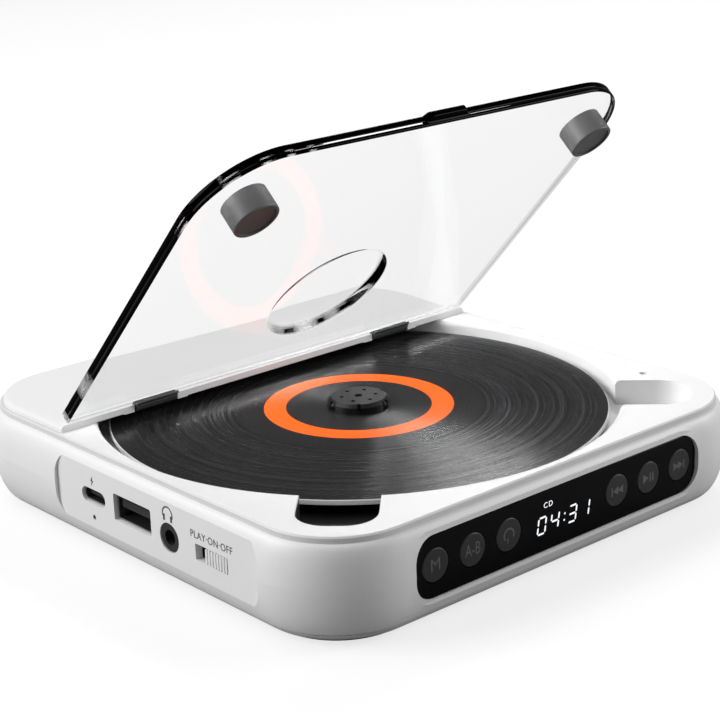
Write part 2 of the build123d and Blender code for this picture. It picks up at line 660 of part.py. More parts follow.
with BuildPart() as charge_indicator:
    with BuildSketch(facing_left(LANDING_X + 0.2)) as light_pipe:
        with Locations((PINHOLE_Y, PINHOLE_Z)):
            Circle(0.5)
    extrude(amount=2.0)
    with BuildSketch(Plane.XY.offset(BOARD_TOP - BOARD_THICKNESS)) as light_source:
        with Locations((-64.2, PINHOLE_Y)):
            Rectangle(2.4, 3.0)
    extrude(amount=-1.4)
charge_indicator.part.label = "charge_indicator"
export_step(charge_indicator.part, "parts/charge_indicator.step")

with BuildPart() as battery:
    with BuildSketch(Plane.XY.offset(COVER_FLOOR)) as battery_outline:
        with Locations((3, 44)):
            RectangleRounded(62, 32, 3)
    extrude(amount=6.0)
    fillet(battery.edges().group_by(Axis.Z)[-1], 1.2)
battery.part.label = "battery"
export_step(battery.part, "parts/battery.step")

# ================================================================ lid sensing
with BuildPart() as strike_plates:
    with BuildSketch(Plane.XY.offset(FLOOR_Z - FLOOR_THICKNESS)) as strike_outline:
        with Locations((POST_X, POST_Y), (-POST_X, POST_Y)):
            Circle(5.0)
    extrude(amount=-0.8)
strike_plates.part.label = "strike_plates"
export_step(strike_plates.part, "parts/strike_plates.step")

with BuildPart() as lid_sensor:
    with BuildSketch(Plane.XY.offset(SEAM_Z)) as sensor_outline:
        with Locations(SENSOR_HOLE):
            Rectangle(4, 3)
    extrude(amount=-1.5)
lid_sensor.part.label = "lid_sensor"
export_step(lid_sensor.part, "parts/lid_sensor.step")

# ================================================================ disc, turntable and spindle
DISC_AXIS = Axis((0, DISC_Y, 0), (0, 0, 1))

with BuildPart() as disc:
    with BuildSketch(Plane.XY.offset(DISC_BASE_Z)) as disc_outline:
        with Locations((0, DISC_Y)):
            Circle(DISC_RADIUS)
            Circle(DISC_HOLE_RADIUS, mode=Mode.SUBTRACT)
    extrude(amount=DISC_THICKNESS)
    chamfer(disc.edges().filter_by(GeomType.CIRCLE), 0.12)
disc.part.label = "disc"
export_step(disc.part, "parts/disc.step")

CATCH_ANGLES = (49, 169, 289)
CATCH_REACH = 6.6
CATCH_Z = 22.95

with BuildPart() as turntable:
    with BuildSketch(Plane.XZ.offset(-DISC_Y)) as turntable_profile:
        with BuildLine():
            Polyline((SHAFT_RADIUS + 0.02, 16.4), (4, 16.4), (4, 19.5), (15, 19.5), (15, DISC_BASE_Z),
                     (HUB_RADIUS, DISC_BASE_Z), (HUB_RADIUS, HUB_TOP - 0.8), (HUB_RADIUS - 0.8, HUB_TOP),
                     (SHAFT_RADIUS + 0.02, HUB_TOP), (SHAFT_RADIUS + 0.02, 16.4))
        make_face()
    revolve(axis=DISC_AXIS)
    # pockets for the catches, and slots that let the hub's rim flex
    with BuildSketch(Plane.XY.offset(CATCH_Z - 1)) as catch_pockets:
        with Locations((0, DISC_Y)):
            for angle in CATCH_ANGLES:
                with Locations(Location((0, 0, 0), (0, 0, angle))):
                    with Locations((HUB_RADIUS - 1, 0)):
                        Rectangle(4, 2.2)
    extrude(amount=2, mode=Mode.SUBTRACT)
    with BuildSketch(Plane.XY.offset(HUB_TOP)) as rim_slots:
        with Locations((0, DISC_Y)):
            for angle in CATCH_ANGLES:
                with Locations(Location((0, 0, 0), (0, 0, angle + 60))):
                    with Locations((HUB_RADIUS, 0)):
                        Rectangle(2.4, 0.8)
            with PolarLocations(4.2, 6, 30):
                Circle(0.55)
    extrude(amount=-1.6, mode=Mode.SUBTRACT)
turntable.part.label = "turntable"
export_step(turntable.part, "parts/turntable.step")

with BuildPart() as hub_catches:
    with Locations((0, DISC_Y, CATCH_Z)):
        for angle in CATCH_ANGLES:
            with Locations(Location((0, 0, 0), (0, 0, angle))):
                with Locations((CATCH_REACH, 0, 0)):
                    Sphere(0.95)
    with BuildSketch(Plane.XY.offset(CATCH_Z - 0.8)) as catch_stems:
        with Locations((0, DISC_Y)):
            for angle in CATCH_ANGLES:
                with Locations(Location((0, 0, 0), (0, 0, angle))):
                    with Locations((CATCH_REACH - 1.1, 0)):
                        Rectangle(2.2, 1.4)
    extrude(amount=1.6)
hub_catches.part.label = "hub_catches"
export_step(hub_catches.part, "parts/hub_catches.step")

with BuildPart() as spindle_shaft:
    with BuildSketch(Plane.XY.offset(MOTOR_BASE + 0.6)) as shaft_outline:
        with Locations((0, DISC_Y)):
            Circle(SHAFT_RADIUS)
    extrude(amount=HUB_TOP - 0.6 - MOTOR_BASE - 0.6)
spindle_shaft.part.label = "spindle_shaft"
export_step(spindle_shaft.part, "parts/spindle_shaft.step")

with BuildPart() as spindle_motor:
    with BuildSketch(Plane.XY.offset(MOTOR_BASE)) as can:
        with Locations((0, DISC_Y)):
            Circle(MOTOR_RADIUS)
    extrude(amount=PLATE_Z - MOTOR_BASE)
    fillet(spindle_motor.edges().group_by(Axis.Z)[0], 0.8)
    with BuildSketch(Plane.XY.offset(PLATE_Z)) as motor_boss:
        with Locations((0, DISC_Y)):
            Circle(3.0)
    extrude(amount=PLATE_THICKNESS + 0.2)
    with BuildSketch(Plane.XY.offset(MOTOR_BASE + 0.5)) as motor_bore:
        with Locations((0, DISC_Y)):
            Circle(SHAFT_RADIUS + RUNNING_GAP)
    extrude(amount=10, mode=Mode.SUBTRACT)
spindle_motor.part.label = "spindle_motor"
export_step(spindle_motor.part, "parts/spindle_motor.step")

# ================================================================ mechanism chassis
RACK_PITCH_RADIUS = PINION_TEETH * GEAR_MODULE / 2
WHEEL_PITCH_RADIUS = WHEEL_TEETH * GEAR_MODULE / 2
MOTOR_PITCH_RADIUS = MOTOR_TEETH * GEAR_MODULE / 2
GEAR_Y = RACK_LINE_Y - RACK_PITCH_RADIUS
GEAR_CENTRES = WHEEL_PITCH_RADIUS + MOTOR_PITCH_RADIUS
SLED_MOTOR_X = GEAR_X + GEAR_CENTRES * math.cos(math.radians(SLED_MOTOR_ANGLE))
SLED_MOTOR_Y = GEAR_Y + GEAR_CENTRES * math.sin(math.radians(SLED_MOTOR_ANGLE))
SLED_MOTOR_RADIUS = 6.0
SLED_MOTOR_BASE = 9.4
WHEEL_Z = 7.0
WHEEL_THICKNESS = 1.2
GEAR_PIN_RADIUS = 0.8
LENS_SLOT = (43.4, 13.0)
LENS_SLOT_X = 39.6
RAIL_WALLS = (12.0, 62.6)
RAIL_WALL_THICKNESS = 1.4

with BuildPart() as mechanism_chassis:
    with BuildSketch(Plane.XY.offset(PLATE_Z)) as plate:
        with Locations(((CHASSIS_X[0] + CHASSIS_X[1]) / 2, (CHASSIS_Y[0] + CHASSIS_Y[1]) / 2)):
            RectangleRounded(CHASSIS_X[1] - CHASSIS_X[0], CHASSIS_Y[1] - CHASSIS_Y[0], 5)
        with Locations((0, DISC_Y)):
            Circle(3.2, mode=Mode.SUBTRACT)
        with Locations((LENS_SLOT_X, DISC_Y)):
            RectangleRounded(*LENS_SLOT, 2, mode=Mode.SUBTRACT)
        with Locations((SLED_MOTOR_X, SLED_MOTOR_Y)):
            Circle(2.0, mode=Mode.SUBTRACT)
        with Locations(*DAMPER_SPOTS):
            Circle(1.4, mode=Mode.SUBTRACT)
    extrude(amount=PLATE_THICKNESS)
    # walls that hold the ends of both guide rails
    for x in RAIL_WALLS:
        for side in (-1, 1):
            with BuildSketch(Plane.YZ.offset(x)) as rail_wall:
                with Locations((DISC_Y + side * RAIL_OFFSET, (PLATE_Z + RAIL_Z - 1.8) / 2)):
                    Rectangle(3.6, PLATE_Z - RAIL_Z + 1.8)
                with Locations((DISC_Y + side * RAIL_OFFSET, RAIL_Z)):
                    Circle(SHAFT_RADIUS + 0.02, mode=Mode.SUBTRACT)
            extrude(amount=RAIL_WALL_THICKNESS)
mechanism_chassis.part.label = "mechanism_chassis"
export_step(mechanism_chassis.part, "parts/mechanism_chassis.step")

with BuildPart() as guide_rails:
    for side in (-1, 1):
        with BuildSketch(Plane.YZ.offset(RAIL_WALLS[0])) as rail:
            with Locations((DISC_Y + side * RAIL_OFFSET, RAIL_Z)):
                Circle(SHAFT_RADIUS)
        extrude(amount=RAIL_WALLS[1] - RAIL_WALLS[0] + RAIL_WALL_THICKNESS)
guide_rails.part.label = "guide_rails"
export_step(guide_rails.part, "parts/guide_rails.step")

with BuildPart() as rubber_dampers:
    with BuildSketch(Plane.XY.offset(DAMPER_BASE)) as damper_outline:
        with Locations(*DAMPER_SPOTS):
            Circle(3.6)
    extrude(amount=PLATE_Z - DAMPER_BASE)
    with BuildSketch(Plane.XY.offset(DAMPER_BASE + 1.2)) as damper_waist:
        with Locations(*DAMPER_SPOTS):
            Circle(4.5)
            Circle(2.7, mode=Mode.SUBTRACT)
    extrude(amount=1.4, mode=Mode.SUBTRACT)
    with BuildSketch(Plane.XY.offset(DAMPER_BASE)) as damper_bore:
        with Locations(*DAMPER_SPOTS):
            Circle(1.3)
    extrude(amount=5, mode=Mode.SUBTRACT)
rubber_dampers.part.label = "rubber_dampers"
export_step(rubber_dampers.part, "parts/rubber_dampers.step")


def screws(name, spots, head_base, head, shank, recess_up=True):
    """A group of equal cross-head screws; head and shank are (radius, length)."""
    turn = 1 if recess_up else -1
    with BuildPart() as group:
        with BuildSketch(Plane.XY.offset(head_base)) as heads:
            with Locations(*spots):
                Circle(head[0])
        extrude(amount=turn * head[1])
        with BuildSketch(Plane.XY.offset(head_base)) as shanks:
            with Locations(*spots):
                Circle(shank[0])
        extrude(amount=-turn * shank[1])
        with BuildSketch(Plane.XY.offset(head_base + turn * head[1])) as crosses:
            with Locations(*spots):
                Rectangle(head[0] * 1.2, head[0] * 0.28)
                Rectangle(head[0] * 0.28, head[0] * 1.2)
        extrude(amount=-turn * head[1] * 0.6, mode=Mode.SUBTRACT)
    group.part.label = name
    export_step(group.part, f"parts/{name}.step")


screws("damper_screws", DAMPER_SPOTS, PLATE_Z + PLATE_THICKNESS, (2.4, 1.0), (0.85, 9.0))
screws("board_screws", STANDOFF_SPOTS, BOARD_TOP, (1.9, 0.9), (0.85, 5.5))
screws("bottom_screws", SCREW_SPOTS, BASE_Z + 0.7, (2.5, 0.6), (1.1, 9.0), recess_up=False)

# ================================================================ pickup sled
SLED_HALF_X = 5.5
SLED_HALF_Y = RAIL_OFFSET + 2.3
RACK_TIP_Y = RACK_LINE_Y - 0.5
RACK_ROOT_Y = RACK_LINE_Y + 0.65
RACK_BACK_Y = DISC_Y - SLED_HALF_Y
RACK_X = (-5.5, 31.5)
RACK_Z = (12.2, 13.8)

with BuildPart() as pickup_sled:
    with BuildSketch(Plane.XY.offset(SLED_BASE)) as sled_outline:
        with Locations((LENS_HOME, DISC_Y)):
            RectangleRounded(2 * SLED_HALF_X, 2 * SLED_HALF_Y, 1.5)
    extrude(amount=SLED_TOP - SLED_BASE)
    with BuildSketch(Plane.XY.offset(SLED_TOP)) as lens_base:
        with Locations((LENS_HOME, DISC_Y)):
            RectangleRounded(9.4, 11.0, 1)
    extrude(amount=2.6)
    for side in (-1, 1):
        with BuildSketch(Plane.YZ.offset(LENS_HOME)) as rail_bore:
            with Locations((DISC_Y + side * RAIL_OFFSET, RAIL_Z)):
                Circle(SHAFT_RADIUS + RUNNING_GAP)
        extrude(amount=20, both=True, mode=Mode.SUBTRACT)
pickup_sled.part.label = "pickup_sled"
export_step(pickup_sled.part, "parts/pickup_sled.step")


def rack_gaps():
    """X centres of the gaps between rack teeth; one gap faces the gear's centre."""
    pitch = math.pi * GEAR_MODULE
    first = math.floor((RACK_X[0] - GEAR_X) / pitch)
    last = math.ceil((RACK_X[1] - GEAR_X) / pitch)
    return [GEAR_X + n * pitch for n in range(first, last + 1)]


with BuildPart() as sled_rack:
    with BuildSketch(Plane.XY.offset(RACK_Z[0])) as rack_outline:
        with Locations(((RACK_X[0] + RACK_X[1]) / 2, (RACK_TIP_Y + RACK_BACK_Y) / 2)):
            Rectangle(RACK_X[1] - RACK_X[0], RACK_BACK_Y - RACK_TIP_Y)
        for x in rack_gaps():
            with BuildLine():
                Polyline((x - 0.64, RACK_TIP_Y - 0.1), (x + 0.64, RACK_TIP_Y - 0.1),
                         (x + 0.3, RACK_ROOT_Y), (x - 0.3, RACK_ROOT_Y),
                         (x - 0.64, RACK_TIP_Y - 0.1))
            make_face(mode=Mode.SUBTRACT)
    extrude(amount=RACK_Z[1] - RACK_Z[0])
sled_rack.part.label = "sled_rack"
export_step(sled_rack.part, "parts/sled_rack.step")

with BuildPart() as lens_holder:
    with BuildSketch(Plane.XY.offset(SLED_TOP + 3.2)) as holder:
        with Locations((LENS_HOME, DISC_Y)):
            RectangleRounded(7.6, 9.0, 1)
            Circle(1.9, mode=Mode.SUBTRACT)
    extrude(amount=1.2)
lens_holder.part.label = "lens_holder"
export_step(lens_holder.part, "parts/lens_holder.step")

with BuildPart() as objective_lens:
    with BuildSketch(Plane.XY.offset(SLED_TOP + 3.4)) as lens_rim:
        with Locations((LENS_HOME, DISC_Y)):
            Circle(1.85)
    extrude(amount=1.5)
    fillet(objective_lens.edges().group_by(Axis.Z)[-1], 0.9)
objective_lens.part.label = "objective_lens"
export_step(objective_lens.part, "parts/objective_lens.step")


# ================================================================ sled gears
def gear_sketch(centre, teeth, z, tooth_angle, bore):
    """Straight-sided spur gear in plan; one tooth points along tooth_angle in degrees."""
    pitch_radius = teeth * GEAR_MODULE / 2
    root = pitch_radius - 1.15 * GEAR_MODULE
    tip = pitch_radius + 0.8 * GEAR_MODULE
    step = 360 / teeth
    with BuildSketch(Plane.XY.offset(z)) as gear:
        with Locations(centre):
            Circle(root + 0.02)
        for n in range(teeth):
            with Locations(Location((centre[0], centre[1], 0), (0, 0, tooth_angle + n * step))):
                with Locations(((root + tip) / 2, 0)):
                    Trapezoid(1.85 * GEAR_MODULE, tip - root, 76, rotation=-90)
        with Locations(centre):
            Circle(bore, mode=Mode.SUBTRACT)
    return gear.sketch


with BuildPart() as drive_gear:
    extrude(gear_sketch((GEAR_X, GEAR_Y), WHEEL_TEETH, WHEEL_Z, SLED_MOTOR_ANGLE,
                        GEAR_PIN_RADIUS + RUNNING_GAP), amount=WHEEL_THICKNESS)
    with BuildSketch(Plane.XY.offset(WHEEL_Z + WHEEL_THICKNESS)) as gear_hub:
        with Locations((GEAR_X, GEAR_Y)):
            Circle(1.9)
            Circle(GEAR_PIN_RADIUS + RUNNING_GAP, mode=Mode.SUBTRACT)
    extrude(amount=RACK_Z[0] - WHEEL_Z - WHEEL_THICKNESS - 0.2)
    extrude(gear_sketch((GEAR_X, GEAR_Y), PINION_TEETH, RACK_Z[0] - 0.2, 90,
                        GEAR_PIN_RADIUS + RUNNING_GAP), amount=RACK_Z[1] - RACK_Z[0] + 0.3)
drive_gear.part.label = "drive_gear"
export_step(drive_gear.part, "parts/drive_gear.step")

with BuildPart() as gear_pin:
    with BuildSketch(Plane.XY.offset(WHEEL_Z - 0.5)) as gear_pin_outline:
        with Locations((GEAR_X, GEAR_Y)):
            Circle(GEAR_PIN_RADIUS)
    extrude(amount=PLATE_Z - WHEEL_Z + 0.5)
gear_pin.part.label = "gear_pin"
export_step(gear_pin.part, "parts/gear_pin.step")

with BuildPart() as motor_pinion:
    extrude(gear_sketch((SLED_MOTOR_X, SLED_MOTOR_Y), MOTOR_TEETH, WHEEL_Z - 0.1,
                        SLED_MOTOR_ANGLE + 180 + 180 / MOTOR_TEETH, SHAFT_RADIUS / 2 + 0.02),
            amount=WHEEL_THICKNESS + 0.2)
motor_pinion.part.label = "motor_pinion"
export_step(motor_pinion.part, "parts/motor_pinion.step")

with BuildPart() as sled_motor:
    with BuildSketch(Plane.XY.offset(SLED_MOTOR_BASE)) as sled_can:
        with Locations((SLED_MOTOR_X, SLED_MOTOR_Y)):
            Circle(SLED_MOTOR_RADIUS)
    extrude(amount=PLATE_Z - SLED_MOTOR_BASE)
    with BuildSketch(Plane.XY.offset(SLED_MOTOR_BASE - 0.5)) as sled_motor_nose:
        with Locations((SLED_MOTOR_X, SLED_MOTOR_Y)):
            Circle(1.8)
    extrude(amount=0.5)
    with BuildSketch(Plane.XY.offset(SLED_MOTOR_BASE - 0.5)) as sled_motor_bore:
        with Locations((SLED_MOTOR_X, SLED_MOTOR_Y)):
            Circle(SHAFT_RADIUS / 2 + RUNNING_GAP)
    extrude(amount=3.5, mode=Mode.SUBTRACT)
sled_motor.part.label = "sled_motor"
export_step(sled_motor.part, "parts/sled_motor.step")

with BuildPart() as sled_motor_shaft:
    with BuildSketch(Plane.XY.offset(WHEEL_Z - 0.3)) as sled_shaft_outline:
        with Locations((SLED_MOTOR_X, SLED_MOTOR_Y)):
            Circle(SHAFT_RADIUS / 2)
    extrude(amount=SLED_MOTOR_BASE - WHEEL_Z + 3.0)
sled_motor_shaft.part.label = "sled_motor_shaft"
export_step(sled_motor_shaft.part, "parts/sled_motor_shaft.step")
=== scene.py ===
"""Looks for a portable disc player: finishes, printed marks, clear lid, camera and studio."""

import logging
import math
from dataclasses import dataclass
from enum import Enum

import bpy
import bmesh
import numpy as np
from mathutils import Matrix, Vector


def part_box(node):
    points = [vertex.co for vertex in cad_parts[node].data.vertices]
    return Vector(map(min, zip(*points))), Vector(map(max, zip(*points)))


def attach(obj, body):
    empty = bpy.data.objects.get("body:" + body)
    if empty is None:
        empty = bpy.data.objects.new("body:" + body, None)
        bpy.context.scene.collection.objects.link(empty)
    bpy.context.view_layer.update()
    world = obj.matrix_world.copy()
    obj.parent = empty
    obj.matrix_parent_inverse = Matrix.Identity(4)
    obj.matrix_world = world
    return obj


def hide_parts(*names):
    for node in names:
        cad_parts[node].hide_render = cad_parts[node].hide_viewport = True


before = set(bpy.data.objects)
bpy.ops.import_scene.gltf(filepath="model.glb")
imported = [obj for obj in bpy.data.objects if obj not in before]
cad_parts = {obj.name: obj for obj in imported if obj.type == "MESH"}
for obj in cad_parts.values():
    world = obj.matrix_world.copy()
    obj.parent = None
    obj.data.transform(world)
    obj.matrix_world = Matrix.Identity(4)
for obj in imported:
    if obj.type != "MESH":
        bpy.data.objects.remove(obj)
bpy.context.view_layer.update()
MM = 0.001
RGB = tuple[float, float, float]
XYZ = tuple[float, float, float]
Pair = tuple[float, float]
Socket = bpy.types.NodeSocket
Material = bpy.types.Material
LOG = logging.getLogger("disc_player")
ARC_POINTS = 28
# height of the font's capitals over its size
CAPITAL_SHARE = 0.72


# ---------------- node graphs
class Graph:
    """Adds nodes and links to one node tree, and keeps the calls short."""

    def __init__(self, tree: bpy.types.NodeTree) -> None:
        """Starts on a tree: a material's, a world's or a group's."""
        self.tree = tree

    def feed(self, socket: Socket, value: object) -> None:
        """Links an input to a socket, or sets its plain value.

        Args:
            socket: the input.
            value: a socket, an RGB tuple for a colour, or another plain value.
        """
        if isinstance(value, Socket):
            self.tree.links.new(value, socket)
        else:
            socket.default_value = (*value, 1.0) if socket.type == "RGBA" else value

    def wire(self, node: bpy.types.Node, **inputs: object) -> None:
        """Feeds a node's inputs by name, with _ for a space."""
        for key, value in inputs.items():
            self.feed(node.inputs[key.replace("_", " ")], value)

    def node(self, kind: str, settings: dict | None = None, **inputs: object) -> bpy.types.Node:
        """Adds a node.

        Args:
            kind: node type without the ShaderNode prefix.
            settings: attributes of the node itself.
            inputs: input name, with _ for a space, to a value or to a socket that feeds it.

        Returns:
            The new node.
        """
        made = self.tree.nodes.new("ShaderNode" + kind)
        for key, value in (settings or {}).items():
            setattr(made, key, value)
        self.wire(made, **inputs)
        return made

    def group(self, name: str, **inputs: object) -> bpy.types.Node:
        """Places a shared group, with its own values."""
        return self.node("Group", {"node_tree": bpy.data.node_groups[name]}, **inputs)

    def math(self, operation: str, *values: object) -> Socket:
        """Adds a Math node whose inputs are numbers or sockets.

        Args:
            operation: the node's operation, such as MULTIPLY.
            values: the inputs in order.

        Returns:
            The result socket.
        """
        made = self.node("Math", {"operation": operation})
        for socket, value in zip(made.inputs, values):
            self.feed(socket, value)
        return made.outputs[0]

    def vector(self, operation: str, first: Socket, second: XYZ) -> Socket:
        """Adds a Vector Math node.

        Args:
            operation: the node's operation, such as MULTIPLY.
            first: the socket that it works on.
            second: the plain vector that it works with.

        Returns:
            The result socket.
        """
        made = self.node("VectorMath", {"operation": operation}, Vector=first)
        made.inputs[1].default_value = second
        return made.outputs[0]

    def noise(self, point: Socket, scale: object, detail: float = 2.0) -> Socket:
        """Adds 3-D noise of about 0.5; scale is a number or a socket."""
        return self.node("TexNoise", Vector=point, Scale=scale, Detail=detail).outputs["Fac"]

    def vary(self, base: object, source: Socket, amount: float) -> Socket:
        """Adds amount times source to base, a number or a socket."""
        return self.math("ADD", base, self.math("MULTIPLY", source, amount))

    def clamp(self, value: Socket) -> Socket:
        """Keeps a value between 0 and 1."""
        return self.math("MAXIMUM", self.math("MINIMUM", value, 1.0), 0.0)

    def between(self, value: Socket, low: float, high: float, blur: float) -> Socket:
        """Adds a mask that is 1 between two values, with soft ends inside them.

        Args:
            value: what is tested.
            low: where the mask starts to rise.
            high: where it has fallen to 0.
            blur: width of each soft end.

        Returns:
            The mask's socket.
        """
        rise = self.math("DIVIDE", self.math("SUBTRACT", value, low), blur)
        fall = self.math("DIVIDE", self.math("SUBTRACT", high, value), blur)
        return self.clamp(self.math("MINIMUM", rise, fall))

    def mix(self, factor: object, first: object, second: object) -> Socket:
        """Adds a colour mix.

        Args:
            factor: share of the second colour, as a number or a socket.
            first: a colour, as an RGB tuple or a socket.
            second: the other colour.

        Returns:
            The mixed colour socket.
        """
        made = self.node("Mix", {"data_type": "RGBA"})
        colours = [s for s in made.inputs if s.type == "RGBA"]
        for socket, value in zip((made.inputs[0], *colours), (factor, first, second)):
            self.feed(socket, value)
        return next(s for s in made.outputs if s.type == "RGBA")

    def seen(self) -> Socket:
        """Adds a test of the ray.

        Returns:
            Socket that is 1 for rays straight from the camera or through something clear, else 0.
        """
        path = self.node("LightPath").outputs
        direct = self.math("MAXIMUM", path["Is Camera Ray"], path["Is Transmission Ray"])
        bounces = self.math("ADD", path["Glossy Depth"], path["Diffuse Depth"])
        return self.math("MULTIPLY", direct, self.math("LESS_THAN", bounces, 0.5))

    def object_point(self, centre: XYZ | None = None) -> Socket:
        """Object coordinates in metres, measured from centre or from the object's own origin."""
        point = self.node("TexCoord").outputs["Object"]
        return self.vector("SUBTRACT", point, centre) if centre else point

    def tinted(self, colour: RGB, source: Socket, strength: float) -> Socket:
        """Adds a colour that a pattern brightens and darkens.

        Args:
            colour: the plain colour.
            source: the pattern, which runs about zero.
            strength: how much of it is used.

        Returns:
            The colour's socket.
        """
        scale = self.node("VectorMath", {"operation": "SCALE"}, Scale=self.vary(1.0, source, strength))
        scale.inputs[0].default_value = colour
        return scale.outputs[0]

    def bumped(self, height: Socket, depth_mm: float, strength: float) -> Socket:
        """Adds a normal from a height pattern that is depth_mm deep."""
        bump = self.node("Bump", Strength=strength, Distance=depth_mm * MM, Height=height)
        return bump.outputs["Normal"]


class Surface(Graph):
    """Graph of a new material, with its one Principled shader."""

    def __init__(self, name: str, colour: RGB) -> None:
        """Makes the material.

        Args:
            name: the material's name.
            colour: its plain colour, for the viewport.
        """
        self.material = bpy.data.materials.new(name)
        self.material.use_nodes = True
        self.material.diffuse_color = (*colour, 1.0)
        super().__init__(self.material.node_tree)
        self.shader = next(n for n in self.tree.nodes if n.type == "BSDF_PRINCIPLED")

    def set(self, **inputs: object) -> None:
        """Feeds the shader's inputs; a name has _ for a space."""
        self.wire(self.shader, **inputs)

    def overlay(self, mask: Socket, colour: RGB) -> None:
        """Mixes a colour over the shader's present colour where the mask is 1."""
        plain = self.shader.inputs["Base Color"].links[0].from_socket
        self.set(Base_Color=self.mix(mask, plain, colour))


def new_group(name: str, outputs: tuple[str, ...],
              **inputs: float) -> tuple[Graph, bpy.types.NodeOutputs, bpy.types.Node]:
    """Starts a shader node group that works on a Point.

    Args:
        name: the group's name.
        outputs: names of its outputs.
        inputs: its other inputs and their usual values.

    Returns:
        The group's graph, the sockets that it starts from by name, and its output node.
    """
    tree = bpy.data.node_groups.new(name, "ShaderNodeTree")
    tree.interface.new_socket("Point", in_out="INPUT", socket_type="NodeSocketVector")
    for label, value in inputs.items():
        socket = tree.interface.new_socket(label, in_out="INPUT", socket_type="NodeSocketFloat")
        socket.default_value = value
    for label in outputs:
        tree.interface.new_socket(label, in_out="OUTPUT", socket_type="NodeSocketFloat")
    return Graph(tree), tree.nodes.new("NodeGroupInput").outputs, tree.nodes.new("NodeGroupOutput")


def build_moulded_grain() -> None:
    """Makes a group: fine spark-eroded grain.

    Height is fine noise plus a little broad waviness. Tone is the broad noise about 0, and Gloss
    is the fine noise about 0.
    """
    graph, start, end = new_group("moulded_grain", ("Height", "Tone", "Gloss"), Grain=9000.0, Drift=40.0)
    fine = graph.noise(start["Point"], start["Grain"], 2.0)
    broad = graph.noise(start["Point"], start["Drift"], 3.0)
    graph.wire(end, Height=graph.vary(fine, broad, 0.6), Tone=graph.math("SUBTRACT", broad, 0.5),
               Gloss=graph.math("SUBTRACT", fine, 0.5))


def build_turned_rings() -> None:
    """Makes a group: rings about an axis.

    Height is a sine of the distance from the axis over Pitch. Radius is that distance, in metres.
    """
    graph, start, end = new_group("turned_rings", ("Height", "Radius"), Pitch=0.0004)
    flat = graph.vector("MULTIPLY", start["Point"], (1, 1, 0))
    radius = graph.node("VectorMath", {"operation": "LENGTH"}, Vector=flat).outputs["Value"]
    turns = graph.math("DIVIDE", radius, start["Pitch"])
    height = graph.math("SINE", graph.math("MULTIPLY", turns, 2 * math.pi))
    graph.wire(end, Height=height, Radius=radius)


def build_brushed_lines() -> None:
    """Makes a group: long fine scratches.

    Height is noise on a point stretched along X, and Gloss is the same noise about 0.
    """
    graph, start, end = new_group("brushed_lines", ("Height", "Gloss"), Scale=3000.0)
    noise = graph.noise(graph.vector("MULTIPLY", start["Point"], (0.04, 1, 1)), start["Scale"], 3.0)
    graph.wire(end, Height=noise, Gloss=graph.math("SUBTRACT", noise, 0.5))


# ---------------- finishes
@dataclass(frozen=True)
class Finish:
    """A named finish; each kind feeds the shader of its own material."""

    name: str
    colour: RGB

    def build(self) -> Material:
        """Makes the material.

        Returns:
            The material.
        """
        graph = Surface(self.name, self.colour)
        self.paint(graph)
        return graph.material

    def paint(self, graph: Surface) -> None:
        """Feeds the shader; each kind has its own way."""
        raise NotImplementedError


@dataclass(frozen=True)
class MouldedPlastic(Finish):
    """Moulded plastic or rubber with a fine grain and a slow drift of tone."""

    roughness: float = 0.4
    grain: float = 9000.0
    drift: float = 40.0
    depth_mm: float = 0.006
    bump: float = 0.6
    tone: float = 0.06
    gloss: float = 0.12
    specular: float = 0.5

    def paint(self, graph: Surface) -> None:
        """Feeds the shader from the grain.

        Args:
            graph: the material's graph.
        """
        grain = graph.group("moulded_grain", Point=graph.object_point(), Grain=self.grain,
                            Drift=self.drift).outputs
        graph.set(Specular_IOR_Level=self.specular,
                  Base_Color=graph.tinted(self.colour, grain["Tone"], self.tone),
                  Roughness=graph.vary(self.roughness, grain["Gloss"], self.gloss),
                  Normal=graph.bumped(grain["Height"], self.depth_mm, self.bump))


@dataclass(frozen=True)
class DeckWithPaintedShade(MouldedPlastic):
    """White deck with painted shade in its left finger channel, where the disc's edge shades it.

    The painted shade covers what lies below shade_z_mm round channel_mm, which is to the left and the
    front of the spin axis, and fades out between the two radii.
    """

    centre: XYZ = (0.0, 0.0, 0.0)
    # colour of the painted shade in the finger channel
    shade: RGB = (0.008, 0.008, 0.008)
    shade_z_mm: float = 23.6
    fade_mm: Pair = (69.0, 78.5)
    channel_mm: Pair = (42.0, 42.0)

    def paint(self, graph: Surface) -> None:
        """Feeds the shader as plain plastic, then lays the painted shade over its colour.

        Args:
            graph: the material's graph.
        """
        super().paint(graph)
        axes = graph.node("SeparateXYZ", Vector=graph.object_point(self.centre)).outputs
        height = graph.node("SeparateXYZ", Vector=graph.object_point()).outputs["Z"]
        squares = [graph.math("MULTIPLY", axes[axis], axes[axis]) for axis in "XY"]
        radius = graph.math("SQRT", graph.math("ADD", *squares))
        near, far = (value * MM for value in self.fade_mm)
        mask = graph.clamp(graph.math("DIVIDE", graph.math("SUBTRACT", far, radius), far - near))
        mask = graph.math("MULTIPLY", mask, graph.math("LESS_THAN", height, self.shade_z_mm * MM))
        for axis, reach in zip("XY", self.channel_mm):
            inside = graph.math("COMPARE", axes[axis], -reach * MM, 0.5 * reach * MM)
            mask = graph.math("MULTIPLY", mask, inside)
        # painted shade: the channel's white plastic is darkened where the disc shades it
        graph.overlay(mask, self.shade)


@dataclass(frozen=True)
class KnobWithPaintedShade(MouldedPlastic):
    """White knob with painted shade: inward of its flange behind the window it is painted dark, standing
    in for the shade in the window's gap.
    """

    # colour of the painted shade behind the window
    dark: RGB = (0.03, 0.03, 0.03)
    flange_x_mm: float = -65.6

    def paint(self, graph: Surface) -> None:
        """Feeds the shader as plain plastic, then paints shade on it from the flange inward.

        Args:
            graph: the material's graph.
        """
        super().paint(graph)
        x = graph.node("SeparateXYZ", Vector=graph.object_point()).outputs["X"]
        # painted shade: everything inward of the flange is dark, as the window's gap is in shade
        graph.overlay(graph.math("GREATER_THAN", x, self.flange_x_mm * MM), self.dark)


